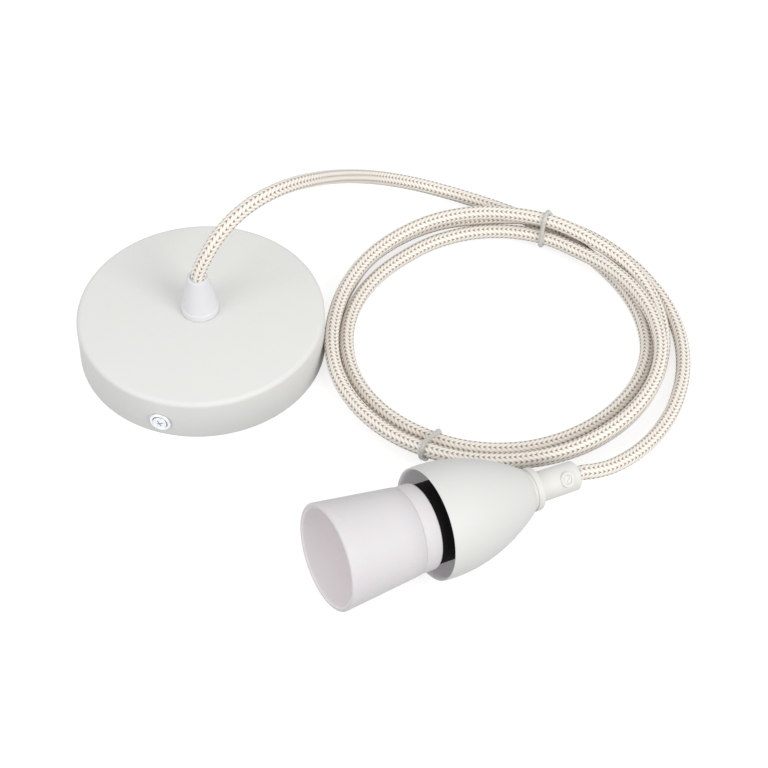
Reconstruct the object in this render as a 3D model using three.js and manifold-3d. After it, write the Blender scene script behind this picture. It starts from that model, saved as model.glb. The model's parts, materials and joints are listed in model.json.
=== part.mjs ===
// Pendant cord set: a round ceiling rose, a braided cord tied in a coil, and a bell-covered lampholder.
// Millimetres, +Z up. It lies on a flat surface at z = 0 with the open side of the rose down.
// The origin is the centre of the rose's underside, where the ceiling would be.

import * as THREE from 'three';
import { mergeVertices } from 'three/addons/utils/BufferGeometryUtils.js';
import Module from 'manifold-3d';

const wasm = await Module();
wasm.setup();

// Fits and facets
const FIT_GAP = 0.3;
const CUT_MARGIN = 1;
const FINE_SIDES = 40;
const ROUND_SIDES = 24;
const SMALL_SIDES = 12;
const WIRE_SIDES = 8;
const CORD_SIDES = 8;
const ARC_STEPS = 3;

// Ceiling rose
const ROSE_RADIUS = 59.5;
const ROSE_HEIGHT = 23;
const ROSE_WALL = 1.2;
const ROSE_EDGE_RADIUS = 2.5;
const ROSE_CROWN = 2;
const ROSE_SEAT_MARGIN = 1.5;
const ROSE_CROWN_STEPS = 3;

// Side screws of the rose
const SIDE_SCREW_AZIMUTH = -106;
const SIDE_SCREW_HEIGHT = 9.2;
const SIDE_SCREW_SHANK_RADIUS = 2;
const SIDE_SCREW_HEAD_RADIUS = 3.5;
const SIDE_SCREW_HEAD_DEPTH = 1.5;
const SIDE_SCREW_DOME = 0.5;
const SIDE_SCREW_REACH = 2.5;
const WASHER_RADIUS = 5.3;
const WASHER_THICKNESS = 1.4;
const WASHER_EDGE = 0.5;
const WASHER_LAND = 0.6;
const CROSS_WIDTH = 0.9;
const CROSS_DEPTH = 1.1;

// Mounting bracket
const BRACKET_WIDTH = 18;
const BRACKET_THICKNESS = 1.5;
const BRACKET_BEND_RADIUS = 1;
const BRACKET_EAR_TOP = 15;
const BRACKET_SLOT_WIDTH = 4.6;
const BRACKET_SLOT_LENGTH = 13;
const BRACKET_SLOT_INSET = 7;
const BRACKET_WALL_GAP = 0.4;

// Cone cord grip on the rose
const CONE_BASE_RADIUS = 9;
const CONE_RIM_HEIGHT = 3.3;
const CONE_SHOULDER = 0.5;
const CONE_TIP_RADIUS = 5.2;
const CONE_TIP_ROUND = 0.8;
const CONE_HEIGHT = 21.3;
const CONE_BULGE = 0.3;
const CONE_STEPS = 4;
const THREAD_RADIUS = 5;
const SPIGOT_LENGTH = 9;
const NUT_FLAT_RADIUS = 7;
const NUT_THICKNESS = 4;
const HEXAGON_SIDES = 6;

// Braided cord and its conductors
const CORD_RADIUS = 3.5;
const CORD_TAIL_IN_ROSE = 2;
const WIRE_RADIUS = 1.1;
const WIRE_PITCH_RADIUS = 1.9;
const WIRE_STEPS = 12;
const WIRE_BOW = {
  outFirst: 0.2,
  acrossFirst: 0.15,
  downFirst: 0.55,
  outLast: 0.55,
  acrossLast: 0.7,
  downLast: 0.9,
};

// Terminal block on the bracket
const BLOCK_OFFSET = 21;
const BLOCK_DEPTH = 13;
const BLOCK_LENGTH = 27;
const BLOCK_HEIGHT = 10.5;
const BLOCK_POLE_PITCH = 9;
const BLOCK_WIRE_HEIGHT = 4;
const BLOCK_SCREW_RADIUS = 1.6;
const BLOCK_SCREW_HEIGHT = 3.6;
const BLOCK_SCREW_SINK = 0.8;
const BLOCK_GROOVE_WIDTH = 1.6;
const BLOCK_GROOVE_DEPTH = 4;
const BLOCK_FOOT_SCREW_RADIUS = 1.4;
const BLOCK_FOOT_HEAD_RADIUS = 2.1;
const BLOCK_FOOT_HEAD_HEIGHT = 1.2;
const BLOCK_FOOT_OFFSET = 4.5;
const SLOT_WIDTH = 0.6;
const SLOT_DEPTH = 0.7;

// Pose of the lampholder, whose own axis runs from its mouth to its cord
const HOLDER_X = 62.8;
const HOLDER_Y = -155.98;
const HOLDER_AZIMUTH = 28.25;
const HOLDER_PITCH = -7.66;

// Front sleeve and neck ring
const SLEEVE_MOUTH_RADIUS = 24.6;
const SLEEVE_REAR_RADIUS = 20.3;
const SLEEVE_WALL = 2.2;
const SLEEVE_LENGTH = 38.8;
const SLEEVE_STEPS = 2;
const NECK_RADIUS = 19.9;
const NECK_LENGTH = 8.2;
const NECK_EDGE = 0.6;
const NECK_SPIGOT_LENGTH = 8;
const NECK_SPIGOT_WALL = 1.6;

// Body of the lampholder inside the bell
const BODY_RADIUS = 18.4;
const BODY_WALL = 1.4;
const BODY_LENGTH = 30;
const BODY_SPIGOT_LENGTH = 9;
const BODY_SHOULDER = 2;
const CAP_NECK_RADIUS = 8.4;
const CAP_NECK_LENGTH = 3.5;
const CAP_DOME_LENGTH = 8;
const CAP_DOME_RADIUS = 11;
const CAP_WALL = 1.6;

// Screw shell for the bulb, of the standard 27 mm size
const SHELL_CREST_RADIUS = 13.4;
const SHELL_ROOT_RADIUS = 12.3;
const SHELL_SHEET = 0.4;
const SHELL_PITCH = 3.63;
const SHELL_TURNS = 6;
const SHELL_COLLAR = 1;
const SHELL_FLOOR_HOLE_RADIUS = 7;

// Insulator, contact and terminals of the lampholder
const INSULATOR_FLANGE_LENGTH = 5;
const INSULATOR_BOSS_RADIUS = 9;
const INSULATOR_BOSS_LENGTH = 4;
const CONTACT_WIDTH = 5;
const CONTACT_SHEET = 0.5;
const CONTACT_RISE = 3.5;
const CONTACT_REACH = 4.5;
const CONTACT_FOOT = 2;
const TERMINAL_RADIUS = 1.8;
const TERMINAL_INSET = 4.5;
const TERMINAL_HEAD_HEIGHT = 1.5;
const TERMINAL_SHANK_LENGTH = 3;
const TERMINAL_SHANK_RADIUS = 1.2;
const TERMINAL_WIRE_INSET = 4.4;

// Bell cover, with a parabola for its outline
const BELL_FRONT = 49.8;
const BELL_WIDEST = 55;
const BELL_RADIUS = 26.1;
const BELL_CURVE_LENGTH = 60;
const BELL_REAR = 101;
const BELL_WALL = 1.2;
const BELL_RIM_WALL = 0.6;
const BELL_STEPS = 8;

// Collar nut, threaded tube and side cord grip behind the bell
const COLLAR_RADIUS = 10.2;
const COLLAR_LENGTH = 4.8;
const COLLAR_CHAMFER = 0.5;
const GRIP_RADIUS = 7.1;
const GRIP_REAR_RADIUS = 6.8;
const GRIP_LENGTH = 21.6;
const GRIP_ROUND = 1.4;
const GRIP_THREAD_DEPTH = 8;
const GRIP_BOSS_RADIUS = 3.65;
const GRIP_BOSS_RISE = 0.6;
const GRIP_BOSS_INSET = 8;
const GRIP_BOSS_AZIMUTH = 134;
const GRUB_RADIUS = 1.8;
const GRUB_SINK = 0.7;
const CORD_END_INSET = 1;

// Coil of cord and its ties
const COIL_X = 142.6;
const COIL_Y = -1.8;
const COIL_INNER_RADIUS = 65;
const COIL_OUTER_RADIUS = 82.5;
const COIL_HEIGHT = 17;
const COIL_ROUND = 3.5;
const TIE_RADIUS = 1.1;
const TIE_TOP_ANGLE = 69;
const TIE_BOTTOM_ANGLE = -115.5;
const TIE_STEPS = 24;
const TIE_SIDES = 8;

// Route of the cord from the tip of the cone to the coil
const LEAD_ROUTE = [
  [1, 0.2, 50.4],
  [5.1, 2.1, 59.5],
  [10.5, 6.2, 67.1],
  [17.2, 11.9, 72.5],
  [24.7, 18.4, 75.2],
  [32.4, 25.3, 75.4],
  [39.7, 32.3, 73.5],
  [46.3, 39.3, 70],
  [52.2, 46.4, 65.3],
  [57.4, 53.5, 59.9],
  [62.1, 60.5, 54.1],
  [66.7, 67.4, 48],
  [71.4, 74.2, 41.7],
  [76.6, 80.6, 35.5],
  [82.4, 86.5, 29.4],
  [89.2, 91.6, 23.5],
  [96.9, 95.6, 18],
  [105.6, 98.2, 13.1],
  [115, 99.1, 9],
  [124.8, 98.3, 6],
  [134.6, 95.8, 4.2],
  [144.2, 92, 3.6],
  [153.3, 87.3, 3.5],
  [160.2, 83.1, 3.5],
];

// Route of the cord from the coil to the lampholder's cord grip
const TAIL_ROUTE = [
  [222.1, 32, 4.5],
  [225.8, 24.7, 3.9],
  [228.7, 16.5, 3.6],
  [230.8, 7.7, 3.5],
  [231.9, -1.4, 3.5],
  [232.1, -10.4, 3.5],
  [231.4, -19.4, 3.5],
  [229.9, -28.2, 3.6],
  [227.5, -37, 3.9],
  [224.4, -45.7, 4.5],
  [220.4, -54.1, 5.4],
  [215.7, -62.2, 6.5],
  [210.2, -69.8, 7.8],
  [204.2, -76.7, 9.2],
  [197.5, -83, 10.9],
  [190.2, -88.4, 12.7],
  [182.4, -92.5, 15],
];
const STRAIGHT_EXIT = 1.5;
const LEAD_STEPS = 28;
const TAIL_STEPS = 20;

// Places that follow from the sizes above
const CORD_BORE_RADIUS = CORD_RADIUS + FIT_GAP;
const THREAD_HOLE_RADIUS = THREAD_RADIUS + FIT_GAP;
const SEAT_HEIGHT = ROSE_HEIGHT + ROSE_CROWN;
const CONE_SEAT = SEAT_HEIGHT + FIT_GAP;
const CONE_TIP = CONE_SEAT + CONE_HEIGHT;
const NECK_FRONT = SLEEVE_LENGTH + FIT_GAP;
const NECK_REAR = NECK_FRONT + NECK_LENGTH;
const BODY_FRONT = NECK_REAR + FIT_GAP;
const BODY_REAR = BODY_FRONT + BODY_LENGTH;
const CAP_FRONT = BODY_REAR + FIT_GAP;
const CAP_REAR = CAP_FRONT + CAP_DOME_LENGTH + CAP_NECK_LENGTH;
const SHELL_SPIGOT_INNER = SHELL_CREST_RADIUS + SHELL_SHEET + FIT_GAP;
const SHELL_FRONT = BODY_FRONT - BODY_SPIGOT_LENGTH;
const TERMINAL_OFFSET = BODY_RADIUS - BODY_WALL - TERMINAL_INSET;
const SHELL_REAR = SHELL_FRONT + SHELL_COLLAR + SHELL_TURNS * SHELL_PITCH;
const INSULATOR_FRONT = SHELL_REAR + SHELL_SHEET + FIT_GAP;
const INSULATOR_REAR = INSULATOR_FRONT + INSULATOR_FLANGE_LENGTH;
const COLLAR_FRONT = BELL_REAR + FIT_GAP;
const COLLAR_REAR = COLLAR_FRONT + COLLAR_LENGTH;
const GRIP_FRONT = COLLAR_REAR + FIT_GAP;
const GRIP_REAR = GRIP_FRONT + GRIP_LENGTH;
const TUBE_FRONT = CAP_REAR - CAP_NECK_LENGTH;
const TUBE_REAR = GRIP_FRONT + GRIP_THREAD_DEPTH - FIT_GAP;

const finish = (color, roughness, metalness) =>
  new THREE.MeshStandardMaterial({ color, roughness, metalness });
const WHITE_PAINT = finish(0xf2f1ee, 0.5, 0);
const WHITE_PLASTIC = finish(0xeceaf2, 0.4, 0);
const LILAC_PLASTIC = finish(0xe6e1e9, 0.45, 0);
const BLACK_PLASTIC = finish(0x0b0b0c, 0.5, 0);
const IVORY_PLASTIC = finish(0xe9e8e0, 0.4, 0);
const ZINC_STEEL = finish(0xb9bcc0, 0.35, 1);
const NICKEL = finish(0xcfcac0, 0.3, 1);
const BRASS = finish(0xc9a24f, 0.3, 1);
const CERAMIC = finish(0xf3f1ea, 0.35, 0);
const BRAID = finish(0xdccbb2, 0.8, 0);
const TIE_NYLON = finish(0xe4e4dc, 0.4, 0);
const WIRE_COLOURS = { live: 0x6b3f22, neutral: 0x2c56a8, earth: 0x6aa33a };
const WIRE_ROUGHNESS = 0.5;

const radians = THREE.MathUtils.degToRad;
const mix = THREE.MathUtils.lerp;

// Keeps only the positions, with shared corners merged and every face pointing out.
function tidy(geometry) {
  const bare = geometry.index ? geometry.clone() : geometry;
  bare.deleteAttribute('normal');
  bare.deleteAttribute('uv');
  const merged = mergeVertices(bare, 1e-4);
  const position = merged.attributes.position;
  const index = merged.index.array;
  const kept = [];
  let volume = 0;
  for (let i = 0; i < index.length; i += 3) {
    const [a, b, c] = [index[i], index[i + 1], index[i + 2]];
    if (a === b || b === c || c === a) {
      continue;
    }
    kept.push(a, b, c);
    const p = new THREE.Vector3().fromBufferAttribute(position, a);
    const q = new THREE.Vector3().fromBufferAttribute(position, b);
    const r = new THREE.Vector3().fromBufferAttribute(position, c);
    volume += p.dot(q.cross(r));
  }
  if (volume < 0) {
    kept.reverse();
  }
  merged.setIndex(kept);
  return merged;
}

function solid(geometry) {
  const clean = tidy(geometry);
  const vertProperties = new Float32Array(clean.attributes.position.array);
  const triVerts = new Uint32Array(clean.index.array);
  return new wasm.Manifold(new wasm.Mesh({ numProp: 3, vertProperties, triVerts }));
}

function shapeOf(body) {
  const mesh = body.getMesh();
  const geometry = new THREE.BufferGeometry();
  geometry.setAttribute('position', new THREE.BufferAttribute(new Float32Array(mesh.vertProperties), 3));
  geometry.setIndex(new THREE.BufferAttribute(new Uint32Array(mesh.triVerts), 1));
  return geometry;
}

function piece(name, geometry, material) {
  const clean = tidy(geometry);
  clean.computeVertexNormals();
  const mesh = new THREE.Mesh(clean, material);
  mesh.name = name;
  return mesh;
}

// Cuts a list of tools from a blank.
function carve(blank, tools) {
  return shapeOf(tools.reduce((body, tool) => body.subtract(solid(tool)), solid(blank)));
}

// Turns a closed outline of [radius, height] points about the Z axis.
function turned(outline, sides) {
  const points = outline.map(([radius, height]) => new THREE.Vector2(radius, height));
  const onAxis = points[0].x === 0 && points.at(-1).x === 0;
  if (!onAxis) {
    points.push(points[0].clone());
  }
  return new THREE.LatheGeometry(points, sides).rotateX(Math.PI / 2);
}

// A round bar along Z that starts at the given height.
function bar(radius, start, length, sides = SMALL_SIDES) {
  return new THREE.CylinderGeometry(radius, radius, length, sides)
    .rotateX(Math.PI / 2)
    .translate(0, 0, start + length / 2);
}

function box(width, depth, height, x, y, base) {
  return new THREE.BoxGeometry(width, depth, height).translate(x, y, base + height / 2);
}

// Points on a quarter or part circle, in degrees from the first to the last angle.
function arc(x, y, radius, first, last, steps = ARC_STEPS) {
  return Array.from({ length: steps + 1 }, (_, i) => {
    const angle = radians(first + ((last - first) * i) / steps);
    return [x + radius * Math.cos(angle), y + radius * Math.sin(angle)];
  });
}

function circleShape(radius, sides) {
  const shape = new THREE.Shape();
  for (let i = 0; i < sides; i++) {
    const angle = (2 * Math.PI * i) / sides;
    shape[i ? 'lineTo' : 'moveTo'](radius * Math.cos(angle), radius * Math.sin(angle));
  }
  shape.closePath();
  return shape;
}

// A round cord or wire along a smooth curve through the points.
function cordAlong(points, radius, sides, steps) {
  const places = points.map((point) => new THREE.Vector3(...point));
  const extrudePath = new THREE.CatmullRomCurve3(places, false, 'centripetal');
  return new THREE.ExtrudeGeometry(circleShape(radius, sides), { steps, bevelEnabled: false, extrudePath });
}

function seatRadius() {
  return CONE_BASE_RADIUS + ROSE_SEAT_MARGIN;
}

// Spun steel cup with a slightly crowned top, open side down.
function roseCup() {
  const flatEdge = ROSE_RADIUS - ROSE_EDGE_RADIUS;
  const crown = (lift) =>
    Array.from({ length: ROSE_CROWN_STEPS + 1 }, (_, i) => {
      const radius = seatRadius() + ((flatEdge - seatRadius()) * i) / ROSE_CROWN_STEPS;
      const share = (radius - seatRadius()) / (flatEdge - seatRadius());
      return [radius, ROSE_HEIGHT + lift + ROSE_CROWN * (1 - share * share)];
    });
  const edge = (radius) => arc(flatEdge, ROSE_HEIGHT - ROSE_EDGE_RADIUS, radius, 90, 0);
  const outer = [
    [THREAD_HOLE_RADIUS, SEAT_HEIGHT],
    ...crown(0),
    ...edge(ROSE_EDGE_RADIUS).slice(1),
    [ROSE_RADIUS, 0],
  ];
  const inner = [
    [ROSE_RADIUS - ROSE_WALL, 0],
    ...edge(ROSE_EDGE_RADIUS - ROSE_WALL).reverse().slice(0, -1),
    ...crown(-ROSE_WALL).reverse(),
    [THREAD_HOLE_RADIUS, SEAT_HEIGHT - ROSE_WALL],
  ];
  const hole = bar(SIDE_SCREW_SHANK_RADIUS + FIT_GAP, -2 * ROSE_RADIUS, 4 * ROSE_RADIUS)
    .rotateY(Math.PI / 2)
    .translate(0, 0, SIDE_SCREW_HEIGHT)
    .rotateZ(radians(SIDE_SCREW_AZIMUTH));
  return piece('rose_cup', carve(turned([...outer, ...inner], FINE_SIDES), [hole]), WHITE_PAINT);
}

// Half the strap's outer length: its ears stay clear of the round wall at their corners.
function earFace() {
  const reach = ROSE_RADIUS - ROSE_WALL - BRACKET_WALL_GAP;
  return Math.sqrt(reach * reach - (BRACKET_WIDTH / 2) ** 2);
}

// Bent steel strap against the ceiling, with an upturned ear behind each side screw.
function mountingBracket() {
  const face = earFace();
  const bend = BRACKET_BEND_RADIUS + BRACKET_THICKNESS;
  const outline = new THREE.Shape();
  const half = [
    [0, 0],
    ...arc(face - bend, bend, bend, -90, 0),
    [face, BRACKET_EAR_TOP],
    [face - BRACKET_THICKNESS, BRACKET_EAR_TOP],
    ...arc(face - bend, bend, BRACKET_BEND_RADIUS, 0, -90),
    [0, BRACKET_THICKNESS],
  ];
  const mirrored = half.slice(1, -1).reverse().map(([x, y]) => [-x, y]);
  [...half, ...mirrored].forEach(([x, y], i) => outline[i ? 'lineTo' : 'moveTo'](x, y));
  outline.closePath();
  const strap = new THREE.ExtrudeGeometry(outline, { depth: BRACKET_WIDTH, bevelEnabled: false })
    .rotateX(Math.PI / 2)
    .translate(0, BRACKET_WIDTH / 2, 0);
  const slotMiddle = face - BRACKET_SLOT_INSET - BRACKET_SLOT_LENGTH / 2;
  const slots = [-slotMiddle, slotMiddle].map((x) =>
    box(BRACKET_SLOT_LENGTH, BRACKET_SLOT_WIDTH, BRACKET_THICKNESS + 2 * CUT_MARGIN, x, 0, -CUT_MARGIN));
  const earHole = bar(SIDE_SCREW_SHANK_RADIUS + FIT_GAP, -2 * ROSE_RADIUS, 4 * ROSE_RADIUS)
    .rotateY(Math.PI / 2)
    .translate(0, 0, SIDE_SCREW_HEIGHT);
  const footHole = bar(BLOCK_FOOT_SCREW_RADIUS + FIT_GAP, -CUT_MARGIN, BRACKET_THICKNESS + 2 * CUT_MARGIN)
    .translate(BLOCK_OFFSET, BLOCK_FOOT_OFFSET, 0);
  const strapCut = carve(strap, [...slots, earHole, footHole]);
  return piece('mounting_bracket', strapCut, ZINC_STEEL);
}

// Dished washer around a side screw, drawn with +Z away from the wall.
function sideWasher(name) {
  const seatTop = SIDE_SCREW_HEAD_RADIUS + FIT_GAP + WASHER_LAND / 2;
  const ring = turned(
    [
      [SIDE_SCREW_SHANK_RADIUS + FIT_GAP, 0],
      [WASHER_RADIUS, 0],
      [WASHER_RADIUS, WASHER_THICKNESS - WASHER_EDGE],
      [WASHER_RADIUS - WASHER_EDGE, WASHER_THICKNESS],
      [seatTop, WASHER_THICKNESS],
    ],
    ROUND_SIDES,
  );
  return piece(name, ring, ZINC_STEEL);
}

// Countersunk cross-head screw, drawn with +Z away from the wall and its cone in the washer.
function sideScrew(name) {
  const headBase = WASHER_THICKNESS - SIDE_SCREW_HEAD_DEPTH + 2 * FIT_GAP;
  const headTop = headBase + SIDE_SCREW_HEAD_DEPTH;
  const tip = -(ROSE_RADIUS - earFace() + BRACKET_THICKNESS + SIDE_SCREW_REACH);
  const body = turned(
    [
      [0, tip],
      [SIDE_SCREW_SHANK_RADIUS, tip],
      [SIDE_SCREW_SHANK_RADIUS, headBase],
      [SIDE_SCREW_HEAD_RADIUS, headTop - WASHER_LAND / 2],
      [SIDE_SCREW_HEAD_RADIUS, headTop],
      [SIDE_SCREW_HEAD_RADIUS / 2, headTop + SIDE_SCREW_DOME],
      [0, headTop + SIDE_SCREW_DOME],
    ],
    ROUND_SIDES,
  );
  const crossBase = headTop + SIDE_SCREW_DOME - CROSS_DEPTH;
  const cross = [
    box(SIDE_SCREW_HEAD_RADIUS, CROSS_WIDTH, CROSS_DEPTH + CUT_MARGIN, 0, 0, crossBase),
    box(CROSS_WIDTH, SIDE_SCREW_HEAD_RADIUS, CROSS_DEPTH + CUT_MARGIN, 0, 0, crossBase),
  ];
  return piece(name, carve(body, cross), ZINC_STEEL);
}

// One screw and washer on the rose's wall, at an azimuth.
function sideFixing(place, azimuth) {
  const spot = new THREE.Group();
  spot.add(sideWasher(`side_washer_${place}`), sideScrew(`side_screw_${place}`));
  spot.rotation.set(0, Math.PI / 2, 0);
  spot.position.set(ROSE_RADIUS + FIT_GAP, 0, SIDE_SCREW_HEIGHT);
  const turn = new THREE.Group();
  turn.rotation.z = radians(azimuth);
  turn.add(spot);
  return turn;
}

// Moulded cone that grips the cord, with a threaded spigot through the rose.
function coneGrip() {
  const shoulder = CONE_BASE_RADIUS - CONE_SHOULDER;
  const tipEdge = CONE_TIP - CONE_TIP_ROUND;
  const flank = Array.from({ length: CONE_STEPS }, (_, i) => {
    const share = i / CONE_STEPS;
    const radius = shoulder + (CONE_TIP_RADIUS - shoulder) * share + CONE_BULGE * Math.sin(Math.PI * share);
    return [radius, CONE_SEAT + CONE_RIM_HEIGHT + (tipEdge - CONE_SEAT - CONE_RIM_HEIGHT) * share];
  });
  const outline = [
    [CORD_BORE_RADIUS, CONE_SEAT - SPIGOT_LENGTH],
    [THREAD_RADIUS, CONE_SEAT - SPIGOT_LENGTH],
    [THREAD_RADIUS, CONE_SEAT],
    [CONE_BASE_RADIUS, CONE_SEAT],
    [CONE_BASE_RADIUS, CONE_SEAT + CONE_RIM_HEIGHT - CONE_SHOULDER],
    ...flank,
    ...arc(CONE_TIP_RADIUS - CONE_TIP_ROUND, tipEdge, CONE_TIP_ROUND, 0, 90, 2),
    [CORD_BORE_RADIUS, CONE_TIP],
  ];
  return piece('rose_cord_cone', turned(outline, ROUND_SIDES), WHITE_PLASTIC);
}

// Flat hexagon nut that holds the cone against the cup.
function coneNut() {
  const top = SEAT_HEIGHT - ROSE_WALL - FIT_GAP;
  const corner = NUT_FLAT_RADIUS / Math.cos(Math.PI / HEXAGON_SIDES);
  const blank = bar(corner, top - NUT_THICKNESS, NUT_THICKNESS, HEXAGON_SIDES);
  const boreStart = top - NUT_THICKNESS - CUT_MARGIN;
  const bore = bar(THREAD_HOLE_RADIUS, boreStart, NUT_THICKNESS + 2 * CUT_MARGIN, ROUND_SIDES);
  return piece('rose_cone_nut', carve(blank, [bore]), ZINC_STEEL);
}

// The cord inside the cone, down to where its outer braid is stripped.
function cordInCone() {
  const base = CONE_SEAT - SPIGOT_LENGTH - CORD_TAIL_IN_ROSE;
  return piece('cord_end_in_rose', bar(CORD_RADIUS, base, CONE_TIP - base, CORD_SIDES), BRAID);
}

function blockBase() {
  return BRACKET_THICKNESS + FIT_GAP;
}

// Three-pole connector, standing across the strap.
function terminalBlock() {
  const base = blockBase();
  const blank = box(BLOCK_DEPTH, BLOCK_LENGTH, BLOCK_HEIGHT, BLOCK_OFFSET, 0, base);
  const tools = [];
  for (const pole of [-1, 0, 1]) {
    const wireHole = bar(WIRE_RADIUS + FIT_GAP, -BLOCK_DEPTH, 2 * BLOCK_DEPTH)
      .rotateY(Math.PI / 2)
      .translate(BLOCK_OFFSET, pole * BLOCK_POLE_PITCH, base + BLOCK_WIRE_HEIGHT);
    const well = bar(BLOCK_SCREW_RADIUS + FIT_GAP, base + BLOCK_WIRE_HEIGHT, BLOCK_HEIGHT)
      .translate(BLOCK_OFFSET, pole * BLOCK_POLE_PITCH, 0);
    tools.push(wireHole, well);
  }
  for (const side of [-1, 1]) {
    const grooveBase = base + BLOCK_HEIGHT - BLOCK_GROOVE_DEPTH;
    const grooveHeight = BLOCK_GROOVE_DEPTH + CUT_MARGIN;
    const grooveLength = BLOCK_DEPTH + 2 * CUT_MARGIN;
    const y = side * BLOCK_FOOT_OFFSET;
    tools.push(box(grooveLength, BLOCK_GROOVE_WIDTH, grooveHeight, BLOCK_OFFSET, y, grooveBase));
  }
  const footHole = bar(BLOCK_FOOT_SCREW_RADIUS + FIT_GAP, base - CUT_MARGIN, BLOCK_HEIGHT)
    .translate(BLOCK_OFFSET, BLOCK_FOOT_OFFSET, 0);
  const headWell = bar(BLOCK_FOOT_HEAD_RADIUS + FIT_GAP, footHeadBase() - FIT_GAP, BLOCK_HEIGHT)
    .translate(BLOCK_OFFSET, BLOCK_FOOT_OFFSET, 0);
  tools.push(footHole, headWell);
  return piece('terminal_block', carve(blank, tools), WHITE_PLASTIC);
}

function footHeadBase() {
  return blockBase() + BLOCK_HEIGHT - BLOCK_GROOVE_DEPTH - BLOCK_FOOT_HEAD_HEIGHT + FIT_GAP;
}

// A slotted screw along Z: a head of one radius on a shank of another.
function slottedScrew(shankRadius, headRadius, tip, headBase, headHeight) {
  const top = headBase + headHeight;
  const body = turned(
    [
      [0, tip],
      [shankRadius, tip],
      [shankRadius, headBase],
      [headRadius, headBase],
      [headRadius, top],
      [0, top],
    ],
    SMALL_SIDES,
  );
  return carve(body, [box(3 * headRadius, SLOT_WIDTH, SLOT_DEPTH + CUT_MARGIN, 0, 0, top - SLOT_DEPTH)]);
}

function blockFootScrew() {
  const shape = slottedScrew(
    BLOCK_FOOT_SCREW_RADIUS, BLOCK_FOOT_HEAD_RADIUS, FIT_GAP, footHeadBase(), BLOCK_FOOT_HEAD_HEIGHT);
  return piece('block_foot_screw', shape.translate(BLOCK_OFFSET, BLOCK_FOOT_OFFSET, 0), ZINC_STEEL);
}

function poleScrew(number, pole) {
  const top = blockBase() + BLOCK_HEIGHT - BLOCK_SCREW_SINK;
  const base = top - BLOCK_SCREW_HEIGHT;
  const body = bar(BLOCK_SCREW_RADIUS, base, BLOCK_SCREW_HEIGHT);
  const slot = box(3 * BLOCK_SCREW_RADIUS, SLOT_WIDTH, SLOT_DEPTH + CUT_MARGIN, 0, 0, top - SLOT_DEPTH);
  const shape = carve(body, [slot]).translate(BLOCK_OFFSET, pole * BLOCK_POLE_PITCH, 0);
  return piece(`pole_screw_${number}`, shape, BRASS);
}

// Insulated conductor from the stripped cord into its pole of the block.
function roseWire(name, pole) {
  const start = CONE_SEAT - SPIGOT_LENGTH - CORD_TAIL_IN_ROSE - FIT_GAP;
  const height = blockBase() + BLOCK_WIRE_HEIGHT;
  const y = pole * BLOCK_POLE_PITCH;
  const x = pole ? -WIRE_PITCH_RADIUS / 2 : WIRE_PITCH_RADIUS;
  const startY = pole * WIRE_PITCH_RADIUS;
  const face = BLOCK_OFFSET - BLOCK_DEPTH / 2;
  const bow = WIRE_BOW;
  const route = [
    [x, startY, start],
    [x, startY, start - WIRE_RADIUS],
    [mix(x, face, bow.outFirst), mix(startY, y, bow.acrossFirst), mix(start, height, bow.downFirst)],
    [mix(x, face, bow.outLast), mix(startY, y, bow.acrossLast), mix(start, height, bow.downLast)],
    [face - WIRE_RADIUS, y, height],
    [face + BLOCK_DEPTH / 2 - BLOCK_SCREW_RADIUS, y, height],
  ];
  const shape = cordAlong(route, WIRE_RADIUS, WIRE_SIDES, WIRE_STEPS);
  return piece(`${name}_wire_in_rose`, shape, finish(WIRE_COLOURS[name], WIRE_ROUGHNESS, 0));
}

function roseGroup() {
  const across = new THREE.Group();
  across.rotation.z = radians(SIDE_SCREW_AZIMUTH);
  across.add(mountingBracket(), terminalBlock(), blockFootScrew());
  across.add(roseWire('live', -1), roseWire('earth', 0), roseWire('neutral', 1));
  [-1, 0, 1].forEach((pole, i) => across.add(poleScrew(i + 1, pole)));
  const rose = new THREE.Group();
  rose.add(roseCup(), coneGrip(), coneNut(), cordInCone(), across);
  rose.add(sideFixing('front', SIDE_SCREW_AZIMUTH), sideFixing('rear', SIDE_SCREW_AZIMUTH + 180));
  return rose;
}

// Plain tapered sleeve around the bulb's neck, with a fully rounded mouth rim.
function frontSleeve() {
  const lip = SLEEVE_WALL / 2;
  const middle = SLEEVE_MOUTH_RADIUS - lip;
  const taper = (offset) =>
    Array.from({ length: SLEEVE_STEPS + 1 }, (_, i) => {
      const share = i / SLEEVE_STEPS;
      const radius = SLEEVE_MOUTH_RADIUS + (SLEEVE_REAR_RADIUS - SLEEVE_MOUTH_RADIUS) * share;
      return [radius - offset, lip + (SLEEVE_LENGTH - lip) * share];
    });
  const outline = [
    ...taper(0),
    ...taper(SLEEVE_WALL).reverse(),
    ...arc(middle, lip, lip, 180, 360).slice(1, -1),
  ];
  return piece('front_sleeve', turned(outline, FINE_SIDES), LILAC_PLASTIC);
}

function bodySpigotRadius() {
  return SHELL_SPIGOT_INNER + BODY_WALL;
}

// Ring that screws on the body and carries the sleeve on its spigot.
function neckRing() {
  const bore = bodySpigotRadius() + FIT_GAP;
  const spigot = Math.min(SLEEVE_REAR_RADIUS - SLEEVE_WALL - FIT_GAP, bore + NECK_SPIGOT_WALL);
  const outline = [
    [bore, NECK_FRONT - NECK_SPIGOT_LENGTH],
    [spigot, NECK_FRONT - NECK_SPIGOT_LENGTH],
    [spigot, NECK_FRONT],
    [NECK_RADIUS, NECK_FRONT],
    [NECK_RADIUS, NECK_REAR - NECK_EDGE],
    [NECK_RADIUS - NECK_EDGE, NECK_REAR],
    [bore, NECK_REAR],
  ];
  return piece('neck_ring', turned(outline, FINE_SIDES), LILAC_PLASTIC);
}

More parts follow.
